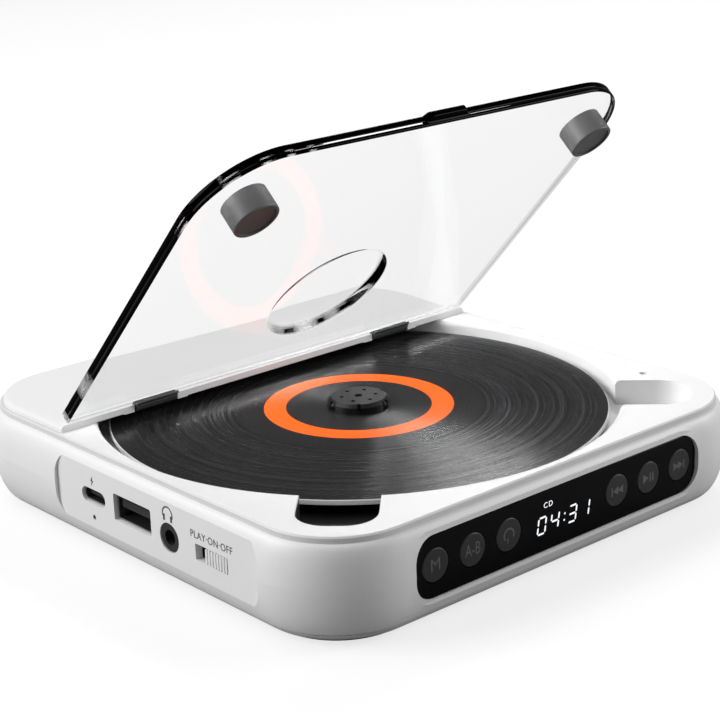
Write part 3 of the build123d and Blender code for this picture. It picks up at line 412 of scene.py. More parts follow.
@dataclass(frozen=True)
class GlossPanel(MouldedPlastic):
    """Deep black gloss of the display window, with a faint orange-peel ripple."""

    colour: RGB = (0.0015, 0.0015, 0.0018)
    roughness: float = 0.1
    grain: float = 700.0
    drift: float = 120.0
    depth_mm: float = 0.002
    bump: float = 0.2
    tone: float = 0.5
    gloss: float = 0.03
    specular: float = 0.15


@dataclass(frozen=True)
class RibbedPlastic(Finish):
    """Plastic with fine ribs that repeat along X, as on the hinge barrels."""

    rib_mm: float = 0.55
    roughness: float = 0.42

    def paint(self, graph: Surface) -> None:
        """Feeds the shader; the ribs are a sine of X.

        Args:
            graph: the material's graph.
        """
        point = graph.object_point()
        grain = graph.group("moulded_grain", Point=point).outputs
        x = graph.node("SeparateXYZ", Vector=point).outputs["X"]
        wave = graph.math("SINE", graph.math("MULTIPLY", x, 2 * math.pi / (self.rib_mm * MM)))
        graph.set(Base_Color=graph.tinted(self.colour, wave, 0.3),
                  Roughness=graph.vary(self.roughness, grain["Gloss"], 0.1),
                  Normal=graph.bumped(wave, 0.05, 0.8))


@dataclass(frozen=True)
class Metal(Finish):
    """Brushed, turned or stamped metal."""

    roughness: float = 0.3

    def paint(self, graph: Surface) -> None:
        """Feeds the shader from the brushed lines.

        Args:
            graph: the material's graph.
        """
        lines = graph.group("brushed_lines", Point=graph.object_point()).outputs
        graph.set(Metallic=1.0, Base_Color=graph.tinted(self.colour, lines["Gloss"], 0.25),
                  Roughness=graph.vary(self.roughness, lines["Gloss"], 0.2),
                  Normal=graph.bumped(lines["Height"], 0.004, 0.5))


@dataclass(frozen=True)
class GrooveDisc(Finish):
    """Black disc with fine grooves, gaps between tracks, a printed ring and a pale rim."""

    colour: RGB = (0.012, 0.012, 0.0125)
    centre: XYZ = (0.0, 0.0, 0.0)
    label: RGB = (0.017, 0.017, 0.0175)
    ring: RGB = (1.0, 0.115, 0.008)
    ring_line: RGB = (0.07, 0.01, 0.004)
    rim: RGB = (0.75, 0.75, 0.76)
    pitch_mm: float = 0.32
    ring_mm: Pair = (17.6, 23.0)
    ring_line_mm: float = 0.3
    grooves_mm: Pair = (29.8, 57.6)
    rim_mm: Pair = (59.8, 1000.0)
    track_gaps_mm: tuple[float, ...] = (36.4, 43.0, 49.2, 54.0)
    half_gap_mm: float = 0.25

    def paint(self, graph: Surface) -> None:
        """Feeds the shader from the distance to the spin axis.

        Args:
            graph: the material's graph.
        """
        rings = graph.group("turned_rings", Point=graph.object_point(self.centre),
                            Pitch=self.pitch_mm * MM).outputs

        def band(low: float, high: float, blur: float) -> Socket:
            """Mask between two radii, in millimetres."""
            return graph.between(rings["Radius"], low * MM, high * MM, blur * MM)

        grooves = band(*self.grooves_mm, 0.2)
        half = self.half_gap_mm
        first, *others = [band(gap - half, gap + half, 0.15) for gap in self.track_gaps_mm]
        gaps = first
        for other in others:
            gaps = graph.math("MAXIMUM", gaps, other)
        noise = graph.node("TexNoise", {"noise_dimensions": "1D"}, W=rings["Radius"], Scale=1100.0,
                           Detail=4.0).outputs["Fac"]
        tone = graph.math("MULTIPLY", graph.math("SUBTRACT", noise, 0.5), grooves)
        base = graph.tinted(self.colour, tone, 1.2)
        inner, outer = self.ring_mm
        line = self.ring_line_mm
        for low, high, blur, colour in ((0.0, inner, 0.1, self.label),
                                        (inner - line, outer + line, 0.12, self.ring_line),
                                        (inner, outer, 0.12, self.ring),
                                        (*self.rim_mm, 0.05, self.rim)):
            base = graph.mix(band(low, high, blur), base, colour)
        height = graph.vary(graph.math("MULTIPLY", rings["Height"], grooves), gaps, -4.0)
        tangent = graph.node("Tangent", {"direction_type": "RADIAL", "axis": "Z"}).outputs["Tangent"]
        graph.set(Anisotropic=0.75, Anisotropic_Rotation=0.25, Specular_IOR_Level=0.28, Base_Color=base,
                  Roughness=graph.vary(graph.vary(0.26, tone, 0.25), gaps, 0.25),
                  Normal=graph.bumped(height, 0.002, 0.4), Tangent=tangent)


@dataclass(frozen=True)
class ClearAcrylic(Finish):
    """Clear sheet. The piece's own attribute 'edge' says how much painted dark reflection lies on its
    polished edges.
    """

    colour: RGB = (0.94, 0.94, 0.945)
    # colour of the painted dark reflections on the edges
    dark: RGB = (0.0, 0.0, 0.0)
    ior: float = 1.12

    def paint(self, graph: Surface) -> None:
        """Feeds the shader, with faint smears in its gloss.

        Args:
            graph: the material's graph.
        """
        # painted reflection: the attribute mixes the dark colour into the clear one
        edge = graph.node("Attribute", {"attribute_name": "edge"}).outputs["Fac"]
        smear = graph.noise(graph.object_point(), 38.0)
        graph.set(Transmission_Weight=1.0, IOR=self.ior, Roughness=graph.math("MULTIPLY", smear, 0.03),
                  Base_Color=graph.mix(edge, self.colour, self.dark))


@dataclass(frozen=True)
class LitMark(Finish):
    """Lit segments behind the window; their brightness varies a little."""

    colour: RGB = (0.93, 0.96, 1.0)
    power: float = 1.05

    def paint(self, graph: Surface) -> None:
        """Feeds the shader, with noise in the glow.

        Args:
            graph: the material's graph.
        """
        noise = graph.noise(graph.object_point(), 900.0, 1.0)
        glow = graph.tinted(self.colour, graph.math("SUBTRACT", noise, 0.5), 0.35)
        graph.set(Emission_Strength=self.power, Roughness=0.5, Base_Color=(0.2, 0.2, 0.2),
                  Emission_Color=glow)


@dataclass(frozen=True)
class CircuitBoard(Finish):
    """Solder mask with copper traces, as a brick pattern of thin lines."""

    colour: RGB = (0.01, 0.09, 0.045)
    trace: RGB = (0.04, 0.2, 0.09)

    def paint(self, graph: Surface) -> None:
        """Feeds the shader from the traces.

        Args:
            graph: the material's graph.
        """
        point = graph.object_point()
        traces = graph.node("TexBrick", Vector=point, Scale=180.0, Mortar_Size=0.03).outputs["Fac"]
        grain = graph.group("moulded_grain", Point=point).outputs
        graph.set(Base_Color=graph.mix(traces, self.colour, self.trace),
                  Roughness=graph.vary(0.35, grain["Gloss"], 0.1),
                  Normal=graph.bumped(traces, 0.02, 0.4))


@dataclass(frozen=True)
class StudioFloor(Finish):
    """Pale seamless paper."""

    colour: RGB = (0.25, 0.25, 0.25)
    bounce: RGB = (0.24, 0.24, 0.24)
    lift: float = 0.74

    def paint(self, graph: Surface) -> None:
        """Feeds the shader: bright where seen, and darker in the light it throws back.

        Args:
            graph: the material's graph.
        """
        paper = graph.noise(graph.object_point(), 30.0)
        colour = graph.tinted(self.colour, graph.math("SUBTRACT", paper, 0.5), 0.01)
        seen = graph.seen()
        graph.set(Roughness=0.9, Specular_IOR_Level=0.1, Emission_Color=(1.0, 1.0, 1.0),
                  Base_Color=graph.mix(seen, self.bounce, colour),
                  Emission_Strength=graph.math("MULTIPLY", seen, self.lift))


# ---------------- meshes
class Side(Enum):
    """Directions of a printed face: along the print, up the print, and out of the surface."""

    FRONT = ((1, 0, 0), (0, 0, 1), (0, -1, 0))
    LEFT = ((0, -1, 0), (0, 0, 1), (-1, 0, 0))

    def place(self, origin: XYZ) -> Matrix:
        """Matrix that puts a drawing's X, Y and Z along the face's directions.

        Args:
            origin: where the drawing's origin goes, in millimetres.

        Returns:
            The matrix, which also turns millimetres into metres.
        """
        along, up, out = (Vector(v) for v in self.value)
        turned = Matrix((along, up, out)).transposed().to_4x4()
        return Matrix.Translation(Vector(origin) * MM) @ turned @ Matrix.Scale(MM, 4)


def add_piece(name: str, mesh: bpy.types.Mesh, material: Material, body: str) -> bpy.types.Object:
    """Links a mesh as a piece that rides on a body.

    Args:
        name: the piece's name.
        mesh: its mesh, already in place, in metres.
        material: its finish.
        body: the CAD body it moves with.

    Returns:
        The new object.
    """
    piece = bpy.data.objects.new(name, mesh)
    bpy.context.scene.collection.objects.link(piece)
    mesh.materials.clear()
    mesh.materials.append(material)
    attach(piece, body)
    LOG.info("piece %s rides on %s", name, body)
    return piece


def closed_mesh(name: str, points: np.ndarray, faces: list) -> bpy.types.Mesh:
    """Mesh from points and faces, with its normals turned outward.

    Args:
        name: the mesh's name.
        points: rows of X, Y, Z in metres.
        faces: lists of point numbers.

    Returns:
        The mesh.
    """
    mesh = bpy.data.meshes.new(name)
    mesh.from_pydata(points.tolist(), [], faces)
    work = bmesh.new()
    work.from_mesh(mesh)
    bmesh.ops.recalc_face_normals(work, faces=work.faces)
    work.to_mesh(mesh)
    work.free()
    return mesh


def stacked_rings(rings: np.ndarray) -> tuple[np.ndarray, list]:
    """Closed skin through a stack of closed rings, with a pole at each end.

    Quads join each ring to the next one; a fan of triangles joins each end ring to its mean.

    Args:
        rings: array of ring, point and coordinate.

    Returns:
        The points and the faces.
    """
    rows, cols = rings.shape[:2]
    points = np.vstack([rings.reshape(-1, 3), rings[0].mean(0), rings[-1].mean(0)])
    row, col = np.meshgrid(np.arange(rows - 1), np.arange(cols), indexing="ij")
    here = row * cols + col
    beside = row * cols + (col + 1) % cols
    quads = np.stack([here, beside, beside + cols, here + cols], axis=-1).reshape(-1, 4)
    ring = np.arange(cols)
    first = np.stack([np.full(cols, rows * cols), (ring + 1) % cols, ring], axis=-1)
    last = (rows - 1) * cols
    last = np.stack([np.full(cols, rows * cols + 1), last + ring, last + (ring + 1) % cols], axis=-1)
    return points, quads.tolist() + first.tolist() + last.tolist()


def plate(outlines: list[np.ndarray], thickness: float) -> tuple[np.ndarray, list]:
    """Thin flat plates: each outline is raised by thickness and walled round its edge.

    Args:
        outlines: closed outlines, each an array of X, Y.
        thickness: height of the plates.

    Returns:
        The points and the faces.
    """
    points, faces, start = [], [], 0
    for outline in outlines:
        count = len(outline)
        low = np.column_stack([outline, np.zeros(count)])
        high = np.column_stack([outline, np.full(count, thickness)])
        points += [low, high]
        faces.append(list(range(start + count - 1, start - 1, -1)))
        faces.append(list(range(start + count, start + 2 * count)))
        ring = np.arange(count)
        after = (ring + 1) % count
        corners = [ring, after, after + count, ring + count]
        faces += (np.stack(corners, axis=-1) + start).tolist()
        start += 2 * count
    return np.vstack(points), faces


def arc_band(centre: Pair, radius: float, width: float, start: float, end: float) -> np.ndarray:
    """Outline of a band along an arc: the outer arc there and the inner arc back.

    Args:
        centre: the arc's centre.
        radius: its middle radius.
        width: the band's width.
        start: first angle in degrees.
        end: last angle in degrees.

    Returns:
        The outline.
    """
    angle = np.radians(np.linspace(start, end, ARC_POINTS))
    ray = np.column_stack([np.cos(angle), np.sin(angle)])
    outer = ray * (radius + width / 2) + centre
    inner = ray[::-1] * (radius - width / 2) + centre
    return np.vstack([outer, inner])


def box_outline(x: float, y: float, width: float, height: float) -> np.ndarray:
    """Upright rectangle centred at x, y."""
    half = np.array([[-1, -1], [1, -1], [1, 1], [-1, 1]]) * (width / 2, height / 2)
    return half + (x, y)


def triangle(x: float, size: float, direction: int) -> np.ndarray:
    """Play-style triangle centred at x that points to +X or -X."""
    corners = np.array([[-0.5, -0.58], [0.5, 0.0], [-0.5, 0.58]]) * size * (direction, 1)
    return corners[::direction] + (x, 0)


def ramp(value: np.ndarray, start: float, width: float) -> np.ndarray:
    """Rises evenly from 0 at start to 1 at start plus width."""
    return np.clip((value - start) / width, 0, 1)


@dataclass(frozen=True)
class Print:
    """How a thin mark is laid: its face, finish, body and thickness in millimetres; slot is not used."""

    side: Side
    finish: Material
    slot: str
    body: str = "housing"
    thickness: float = 0.02

    def shapes(self, name: str, outlines: list[np.ndarray], origin: XYZ) -> bpy.types.Object:
        """Makes a mark of thin plates.

        Args:
            name: the piece's name.
            outlines: closed outlines about the origin.
            origin: its place, in millimetres.

        Returns:
            The piece.
        """
        mesh = closed_mesh(name, *plate(outlines, self.thickness))
        mesh.transform(self.side.place(origin))
        return add_piece(name, mesh, self.finish, self.body)

    def text(self, name: str, text: str, height: float, origin: XYZ, squeeze: float = 1.0,
             spacing: float = 1.0) -> bpy.types.Object:
        """Makes printed text as a thin mesh, centred on its origin.

        Args:
            name: the piece's name.
            text: what it says.
            height: letter size in millimetres.
            origin: its centre, in millimetres.
            squeeze: width over normal width.
            spacing: letter spacing over normal spacing.

        Returns:
            The piece.
        """
        curve = bpy.data.curves.new(name, "FONT")
        curve.body = text
        curve.size = height / CAPITAL_SHARE
        curve.align_x = "CENTER"
        curve.align_y = "CENTER"
        curve.extrude = self.thickness / 2
        curve.space_character = spacing
        holder = bpy.data.objects.new(name + "_text", curve)
        bpy.context.scene.collection.objects.link(holder)
        bpy.context.view_layer.update()
        seen = holder.evaluated_get(bpy.context.evaluated_depsgraph_get())
        mesh = bpy.data.meshes.new_from_object(seen)
        bpy.data.objects.remove(holder)
        bpy.data.curves.remove(curve)
        mesh.transform(self.side.place(origin) @ Matrix.Translation((0, 0, self.thickness / 2))
                       @ Matrix.Diagonal((squeeze, 1, 1, 1)))
        mesh.name = name
        return add_piece(name, mesh, self.finish, self.body)


def node_centre(name: str) -> Vector:
    """Centre of a CAD node's box, in millimetres."""
    low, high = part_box(name)
    return (low + high) / 2 / MM


# ---------------- lid
@dataclass
class ClearLid:
    """The clear lid: a rounded sheet with a round recess under it and a finger tab in front.

    The sheet is drawn in its own plane: X across, V from the hinge line to the front (negative),
    W up through the sheet. Sizes are in millimetres.
    """

    finish: Material
    open_angle: float = 47.4
    hinge: Pair = (29.2, 25.1)
    half_x: float = 63.6
    rear: float = -1.25
    front: float = -95.7
    front_corner: float = 19.0
    rear_corner: float = 1.0
    underside: float = -0.08
    thickness: float = 2.85
    edge_radius: float = 0.4
    tab_half: float = 6.0
    tab_reach: float = 1.3
    tab_thickness: float = 1.7
    recess_centre: float = -31.2
    recess_radius: float = 16.5
    recess_depth: float = 1.9
    tab_shoulder: float = 1.2
    least_radius: float = 0.02
    # points on a front corner, the front, a side, a rear corner and the rear
    corner_points: int = 26
    front_points: int = 141
    side_points: int = 44
    rear_corner_points: int = 6
    rear_points: int = 84

    def outline(self, inset: float, tab: float) -> np.ndarray:
        """Edge of the sheet moved inward by inset.

        Each corner is an arc, and the sides and the rear are evenly spaced points. The points of
        the front crowd towards its middle, where the tab pushes the edge out by tab_reach with a
        quarter-round shoulder at each end.

        Args:
            inset: how far inside the true edge.
            tab: share of the tab that is present, 0 to 1.

        Returns:
            Points as X, V.
        """
        x, back, front = self.half_x, self.rear, self.front
        big, small = self.front_corner, self.rear_corner

        def arc(cx: float, cv: float, radius: float, start: float, count: int) -> np.ndarray:
            """Quarter arc about cx, cv from a start angle in degrees."""
            angle = np.radians(np.linspace(start, start + 90, count))
            reach = max(radius - inset, self.least_radius)
            return np.column_stack([cx + reach * np.cos(angle), cv + reach * np.sin(angle)])

        def side(first: Pair, last: Pair, count: int) -> np.ndarray:
            """Evenly spaced points between two ends, without the ends."""
            return np.linspace(first, last, count + 2)[1:-1]

        corner, small_corner, flank = self.corner_points, self.rear_corner_points, self.side_points
        spread = np.linspace(-1, 1, self.front_points)
        front_x = (x - big) * (0.55 * spread + 0.45 * spread ** 3)
        shoulder = np.clip((self.tab_half - np.abs(front_x)) / self.tab_shoulder, 0, 1)
        push = tab * self.tab_reach * np.sqrt(1 - (1 - shoulder) ** 2)
        front_side = np.column_stack([front_x, front + inset - push])
        return np.vstack([
            arc(-x + big, front + big, big, 180, corner), front_side[1:-1],
            arc(x - big, front + big, big, 270, corner),
            side((x - inset, front + big), (x - inset, back - small), flank),
            arc(x - small, back - small, small, 0, small_corner),
            side((x - small, back - inset), (-x + small, back - inset), self.rear_points),
            arc(-x + small, back - small, small, 90, small_corner),
            side((-x + inset, back - small), (-x + inset, front + big), flank)])

    def to_frame(self, flat: np.ndarray, height: float) -> np.ndarray:
        """Turns points of the sheet's plane into the frame, in metres.

        Args:
            flat: points as X, V.
            height: their height over the underside.

        Returns:
            Points as X, Y, Z.
        """
        turn = math.radians(self.open_angle)
        x, v = flat[:, 0], flat[:, 1]
        w = self.underside + height
        y = self.hinge[0] + v * math.cos(turn) + w * math.sin(turn)
        z = self.hinge[1] - v * math.sin(turn) + w * math.cos(turn)
        return np.column_stack([x, y, z]) * MM

    def rim_rings(self) -> list[XYZ]:
        """Rings over the edge as (inset, height over the underside, share of tab), top to bottom.

        A quarter round at the top and one at the bottom join the faces to the upright wall, and
        the tab ends in a step inside the wall's height.

        Returns:
            The rings.
        """
        radius, top = self.edge_radius, self.thickness
        angle = np.radians(np.linspace(0, 90, 5))
        upper = [(radius * (1 - math.sin(a)), top - radius * (1 - math.cos(a)), 1.0) for a in angle]
        tab_base = top - self.tab_thickness
        step = [(0.0, tab_base + 0.3, 1.0), (0.1, tab_base + 0.08, 1.0), (0.3, tab_base, 1.0),
                (0.0, tab_base, 0.0)]
        lower = [(radius * (1 - math.cos(a)), radius * (1 - math.sin(a)), 0.0) for a in angle]
        inner = radius + 0.08
        return [(inner, top, 1.0)] + upper + step + lower + [(inner, 0.0, 0.0)]

    def recess_rings(self) -> list[XYZ]:
        """Rings down the recess as (radius, height over the underside, share of the painted darkness),
        outside first.

        A rounded lip leads to a steep wall and a rounded foot, and the floor is flat.

        Returns:
            The rings.
        """
        radius, depth = self.recess_radius, self.recess_depth
        lip = [(radius + 0.7, 0, 0), (radius + 0.35, 0.03, 0), (radius + 0.1, 0.16, 0.7)]
        wall = [(radius, 0.4, 1), (radius - 0.35, depth - 0.7, 1), (radius - 0.75, depth - 0.25, 0.8)]
        foot = [(radius - 1.3, depth - 0.03, 0.2), (radius - 1.7, depth, 0)]
        return lip + wall + foot + [(radius * 0.5, depth, 0), (0.5, depth, 0)]

    def painted_edge_reflections(self, flat: np.ndarray) -> np.ndarray:
        """Painted dark reflections on the wall along the edge: the front and left edges are painted
        darkest.

        Painted glints, bright at the left front corner and in a row near the left hinge end, are sines
        of the place along the edge.

        Args:
            flat: the edge's points as X, V.

        Returns:
            A painted darkness for each point, 0 to 1.
        """
        x, v = flat[:, 0], flat[:, 1]
        left, front, right = ramp(-x, 30, 12), ramp(-v, 70, 8), 0.4 * ramp(x, 58, 3)
        dark = np.maximum.reduce([left, front, right]) * (0.25 + 0.75 * ramp(-v, 1.2, 2.0))
        corner = ramp(-x, 36, 6) * ramp(-v, 74, 4)
        # painted glints: corner spots and, in comb, stripes near the left hinge end lift the painted
        # darkness
        glint = np.clip(np.sin(x * 1.15 + v * 0.5) * 1.6 - 0.9, 0, 1)
        comb = ramp(v, -20, 10) * left * np.clip(np.sin(v * 3.6) - 0.2, 0, 1)
        return np.clip(dark - 0.75 * glint * corner - 0.8 * comb, 0, 1)

    def painted_recess_reflections(self, ray: np.ndarray) -> np.ndarray:
        """Painted dark reflections on the recess wall round its circle: broken patches, mostly on one
        side.

        Args:
            ray: unit directions from the recess's centre.

        Returns:
            A painted darkness for each direction, 0 to 1.
        """
        bearing = np.arctan2(ray[:, 1], ray[:, 0])
        near = np.clip(1.7 * np.cos(bearing - math.radians(55)) + 0.2, 0, 1)
        return near * np.clip(0.8 + 0.6 * np.sin(9 * bearing + 1.0) * np.sin(3.1 * bearing), 0, 1)

    def build(self) -> bpy.types.Object:
        """Makes the sheet as one stack of rings, from the top's middle to the recess floor.

        Returns:
            The lid.
        """
        base, rim = self.outline(0, 0), self.rim_rings()
        centre = np.array([0.0, self.recess_centre])
        # dark is the painted reflection darkness for the edge's wall rings; clear has none
        clear, dark = np.zeros(len(base)), self.painted_edge_reflections(base)
        layers = [(centre + (base - centre) * share, self.thickness, clear) for share in (0.02, 0.5)]
        for number, (inset, height, tab) in enumerate(rim):
            wall = 0 < number < len(rim) - 1
            layers.append((self.outline(inset, tab), height, dark if wall else clear))
        ray = (base - centre) / np.linalg.norm(base - centre, axis=1, keepdims=True)
        # shade is the painted reflection darkness round the recess wall
        shade = self.painted_recess_reflections(ray)
        layers += [(centre + ray * reach, height, shade * share)
                   for reach, height, share in self.recess_rings()]
        rings = [self.to_frame(flat, height) for flat, height, _ in layers]
        mesh = closed_mesh("clear_lid", *stacked_rings(np.array(rings)))
        poles = [0.0, 0.0]
        values = np.concatenate([*(tone for *_, tone in layers), poles]).astype(np.float32)
        # the attribute 'edge' carries the painted reflections to the clear finish
        mesh.attributes.new("edge", "FLOAT", "POINT").data.foreach_set("value", values)
        mesh.polygons.foreach_set("use_smooth", np.ones(len(mesh.polygons), bool))
        piece = add_piece("clear_lid", mesh, self.finish, "lid_assembly")
        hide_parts("lid")
        piece.visible_shadow = False
        return piece


# ---------------- front panel marks
class Segment(Enum):
    """The seven bars of a digit as (start, end) in units of half width and half height."""

    TOP = ((-1, 2), (1, 2))
    UPPER_LEFT = ((-1, 0), (-1, 2))
    UPPER_RIGHT = ((1, 0), (1, 2))
    MIDDLE = ((-1, 0), (1, 0))
    LOWER_LEFT = ((-1, -2), (-1, 0))
    LOWER_RIGHT = ((1, -2), (1, 0))
    BOTTOM = ((-1, -2), (1, -2))


RIGHT_BARS = (Segment.UPPER_RIGHT, Segment.LOWER_RIGHT)
DIGITS = {
    "0": (Segment.TOP, Segment.UPPER_LEFT, Segment.LOWER_LEFT, *RIGHT_BARS, Segment.BOTTOM),
    "1": RIGHT_BARS,
    "3": (Segment.TOP, *RIGHT_BARS, Segment.MIDDLE, Segment.BOTTOM),
    "4": (Segment.UPPER_LEFT, *RIGHT_BARS, Segment.MIDDLE),
}


@dataclass
class DisplayFace:
    """Lit digits in the window. Sizes are in millimetres."""

    finish: Material
    digits: tuple[tuple[str, float], ...] = (("0", -7.0), ("4", -2.9), ("3", 2.7), ("1", 6.9))
    middle_z: float = 12.5
    half_width: float = 1.15
    half_height: float = 0.93
    bar: float = 0.42
    gap: float = 0.3
    slant: float = 0.16
    colon_x: float = 0.15
    colon_z: float = 0.75
    dot: float = 0.4
    label_x: float = -5.0
    label_z: float = 16.9
    proud: float = 0.01

    def bar_outline(self, segment: Segment) -> np.ndarray:
        """Draws a bar with pointed ends between the segment's two ends, shortened by the gap.

        Args:
            segment: which bar.

        Returns:
            The bar's outline, about the digit's middle.
        """
        scale = np.array([self.half_width, self.half_height])
        first, last = (np.array(end, float) * scale for end in segment.value)
        way = (last - first) / np.linalg.norm(last - first)
        across = np.array([-way[1], way[0]]) * self.bar / 2
        first, last = first + way * self.gap / 2, last - way * self.gap / 2
        point = way * self.bar / 2
        return np.array([first, first + point - across, last - point - across, last,
                         last - point + across, first + point + across])

    def lean(self, outline: np.ndarray, x: float) -> np.ndarray:
        """Slants an outline to the right as it rises, and moves it to x."""
        return np.column_stack([outline[:, 0] + self.slant * outline[:, 1] + x, outline[:, 1]])

    def build(self) -> None:
        """Makes the digits, the colon and the small label above them."""
        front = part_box("display_window")[0].y / MM - self.proud
        outlines = [self.lean(self.bar_outline(segment), x)
                    for digit, x in self.digits for segment in DIGITS[digit]]
        for z in (-self.colon_z, self.colon_z):
            outlines.append(self.lean(box_outline(0, z, self.dot, self.dot), self.colon_x))
        ink = Print(Side.FRONT, self.finish, "display_plastic")
        ink.shapes("display_digits", outlines, (0, front, self.middle_z))
        ink.text("display_label", "CD", 1.3, (self.label_x, front, self.label_z), spacing=1.3)


BUTTONS = ("mode", "a_b", "repeat", "previous", "play_pause", "next")


@dataclass
class ButtonFaces:
    """Icons on the six round buttons; each rides on its own button. Sizes are in millimetres."""

    finish: Material
    letter: float = 2.9
    proud: float = 0.01
    skip: float = 1.75
    play: float = 1.9
    bar: float = 2.1

    def skip_icon(self, way: int) -> list[np.ndarray]:
        """Two triangles and a bar that point along X, or against it where way is -1."""
        arrows = [triangle(middle * way, self.skip, way) for middle in (-1.15, 0.45)]
        return [*arrows, box_outline(1.65 * way, 0, 0.42, self.bar)]

    def icon(self, name: str) -> list[np.ndarray]:
        """Draws a button's icon about its centre.

        Args:
            name: the button's name.

        Returns:
            The icon's outlines.
        """
        if name == "repeat":
            return [arc_band((0, 0), 1.45, 0.42, -30, 250),
                    np.array([[-0.1, -0.75], [-1.15, -0.9], [-0.35, -2.0]])]
        if name == "play_pause":
            pauses = [box_outline(x, 0, 0.45, self.bar) for x in (0.6, 1.5)]
            return [triangle(-0.95, self.play, 1), *pauses]
        return self.skip_icon(-1 if name == "previous" else 1)

    def build(self) -> None:
        """Makes one mark for each button."""
        letters = {"mode": ("M", 1.0), "a_b": ("A-B", 0.72)}
        for name in BUTTONS:
            node = name + "_button"
            middle = node_centre(node)
            origin = (middle.x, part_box(node)[0].y / MM - self.proud, middle.z)
            ink = Print(Side.FRONT, self.finish, "button_plastic", name + "_key")
            if name in letters:
                text, squeeze = letters[name]
                ink.text(name + "_icon", text, self.letter, origin, squeeze)
            else:
                ink.shapes(name + "_icon", self.icon(name), origin)


# ---------------- side marks
@dataclass
class SideMarks:
    """Grey print beside the ports. Positions are Y and Z in millimetres."""

    finish: Material
    face_x: float = -67.5
    proud: float = 0.01
    bolt: Pair = (13.1, 17.4)
    headphones: Pair = (-15.9, 17.9)
    words: Pair = (-31.3, 16.1)

    def spot(self, place: Pair) -> XYZ:
        """A place on the flat landing, just proud of it."""
        return (self.face_x - self.proud, *place)

    def build(self) -> None:
        """Makes the charge bolt, the headphone icon and the switch's words."""
        ink = Print(Side.LEFT, self.finish, "white_plastic", thickness=0.03)
        bolt = np.array([[0.35, 1.25], [-0.6, -0.1], [-0.05, -0.1],
                         [-0.35, -1.25], [0.6, 0.15], [0.05, 0.15]])
        ink.shapes("charge_mark", [bolt], self.spot(self.bolt))
        band = arc_band((0, -0.1), 1.75, 0.34, -20, 200)
        cups = [box_outline(side * 1.3, -0.95, 0.62, 1.5) for side in (-1, 1)]
        ink.shapes("headphone_mark", [band, *cups], self.spot(self.headphones))
        ink.text("switch_words", "PLAY·ON·OFF", 1.75, self.spot(self.words), squeeze=0.92, spacing=1.08)


# ---------------- carried-over parts
WEARERS: dict[str, tuple[str, ...]] = {
    "white": ("body_shell", "bottom_cover", "rear_cover"),
    "deck": ("top_deck",),
    "knob": ("switch_knob",),
    "barrel": ("left_hinge_knuckle", "right_hinge_knuckle"),
    "cup": ("left_magnet_cup", "right_magnet_cup"),
    "magnet": ("left_magnet", "right_magnet"),
    "window": ("display_window",),
    "button": tuple(name + "_button" for name in BUTTONS),
    "disc": ("disc",),
    "hub": ("turntable", "hub_catches", "spindle_shaft"),
    "foot": ("corner_feet", "rubber_dampers"),
    "board": ("main_board", "button_board"),
    "black": ("charge_indicator", "tact_switches", "display_module", "board_chips", "usb_c_tongue",
              "usb_a_tongue", "headphone_jack", "switch_body", "lid_sensor", "mechanism_chassis",
              "pickup_sled", "lens_holder"),
    "gear": ("sled_rack", "drive_gear", "motor_pinion"),
    "shell": ("usb_c_socket", "usb_a_socket"),
    "steel": ("hinge_pins", "strike_plates", "guide_rails", "damper_screws", "board_screws",
              "bottom_screws", "gear_pin", "sled_motor_shaft", "spindle_motor", "sled_motor"),
    "lens": ("objective_lens",),
    "wrap": ("battery",),
}


def dress_nodes(finishes: dict[str, Material]) -> None:
    """Puts its finish on every node that WEARERS lists; the lid isn't there, as it is replaced.

    Args:
        finishes: every finish by name.
    """
    for finish, names in WEARERS.items():
        for name in names:
            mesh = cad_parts[name].data
            mesh.materials.clear()
            mesh.materials.append(finishes[finish])
            LOG.info("node %s wears %s", name, finish)


def build_finishes() -> dict[str, Material]:
    """Makes every finish.

    Returns:
        The materials by name.
    """
    disc_centre = tuple(node_centre("disc") * MM)
    listed = [
        MouldedPlastic("white", (0.8, 0.8, 0.8), roughness=0.42, depth_mm=0.004, tone=0.02),
        # same white plastic as the body; the deck's lower colour, 0.68 against 0.8, is painted shade
        # that dims the brightly lit top
        DeckWithPaintedShade("deck", (0.68, 0.68, 0.68), roughness=0.42, depth_mm=0.004, tone=0.02,
                    centre=disc_centre),
        KnobWithPaintedShade("knob", (0.82, 0.82, 0.82), roughness=0.38),
        MouldedPlastic("cup", (0.12, 0.12, 0.123), roughness=0.42, depth_mm=0.008, tone=0.1),
        MouldedPlastic("button", (0.024, 0.024, 0.026), roughness=0.45, depth_mm=0.008, tone=0.5),
        MouldedPlastic("hub", (0.006, 0.006, 0.006), roughness=0.42, tone=0.3, specular=0.25),
        MouldedPlastic("foot", (0.03, 0.03, 0.03), roughness=0.8, grain=5000.0, tone=0.3),
        MouldedPlastic("black", (0.02, 0.02, 0.02), roughness=0.5, tone=0.3),
        MouldedPlastic("gear", (0.78, 0.76, 0.7), roughness=0.45),
        MouldedPlastic("wrap", (0.12, 0.14, 0.17), roughness=0.35, grain=1500.0, tone=0.2),
        MouldedPlastic("print", (0.06, 0.06, 0.065), roughness=0.6, tone=0.5),
        MouldedPlastic("icon", (0.115, 0.115, 0.118), roughness=0.5, tone=0.4),
        RibbedPlastic("barrel", (0.05, 0.05, 0.052)),
        Metal("steel", (0.6, 0.6, 0.61)),
        Metal("magnet", (0.24, 0.235, 0.235), roughness=0.6),
        Metal("shell", (0.35, 0.35, 0.36), roughness=0.35),
        GlossPanel("window"),
        GrooveDisc("disc", centre=disc_centre),
        ClearAcrylic("clear"),
        ClearAcrylic("lens", (0.7, 0.8, 0.95)),
        LitMark("lit"),
        CircuitBoard("board"),
        StudioFloor("floor"),
    ]
    return {finish.name: finish.build() for finish in listed}


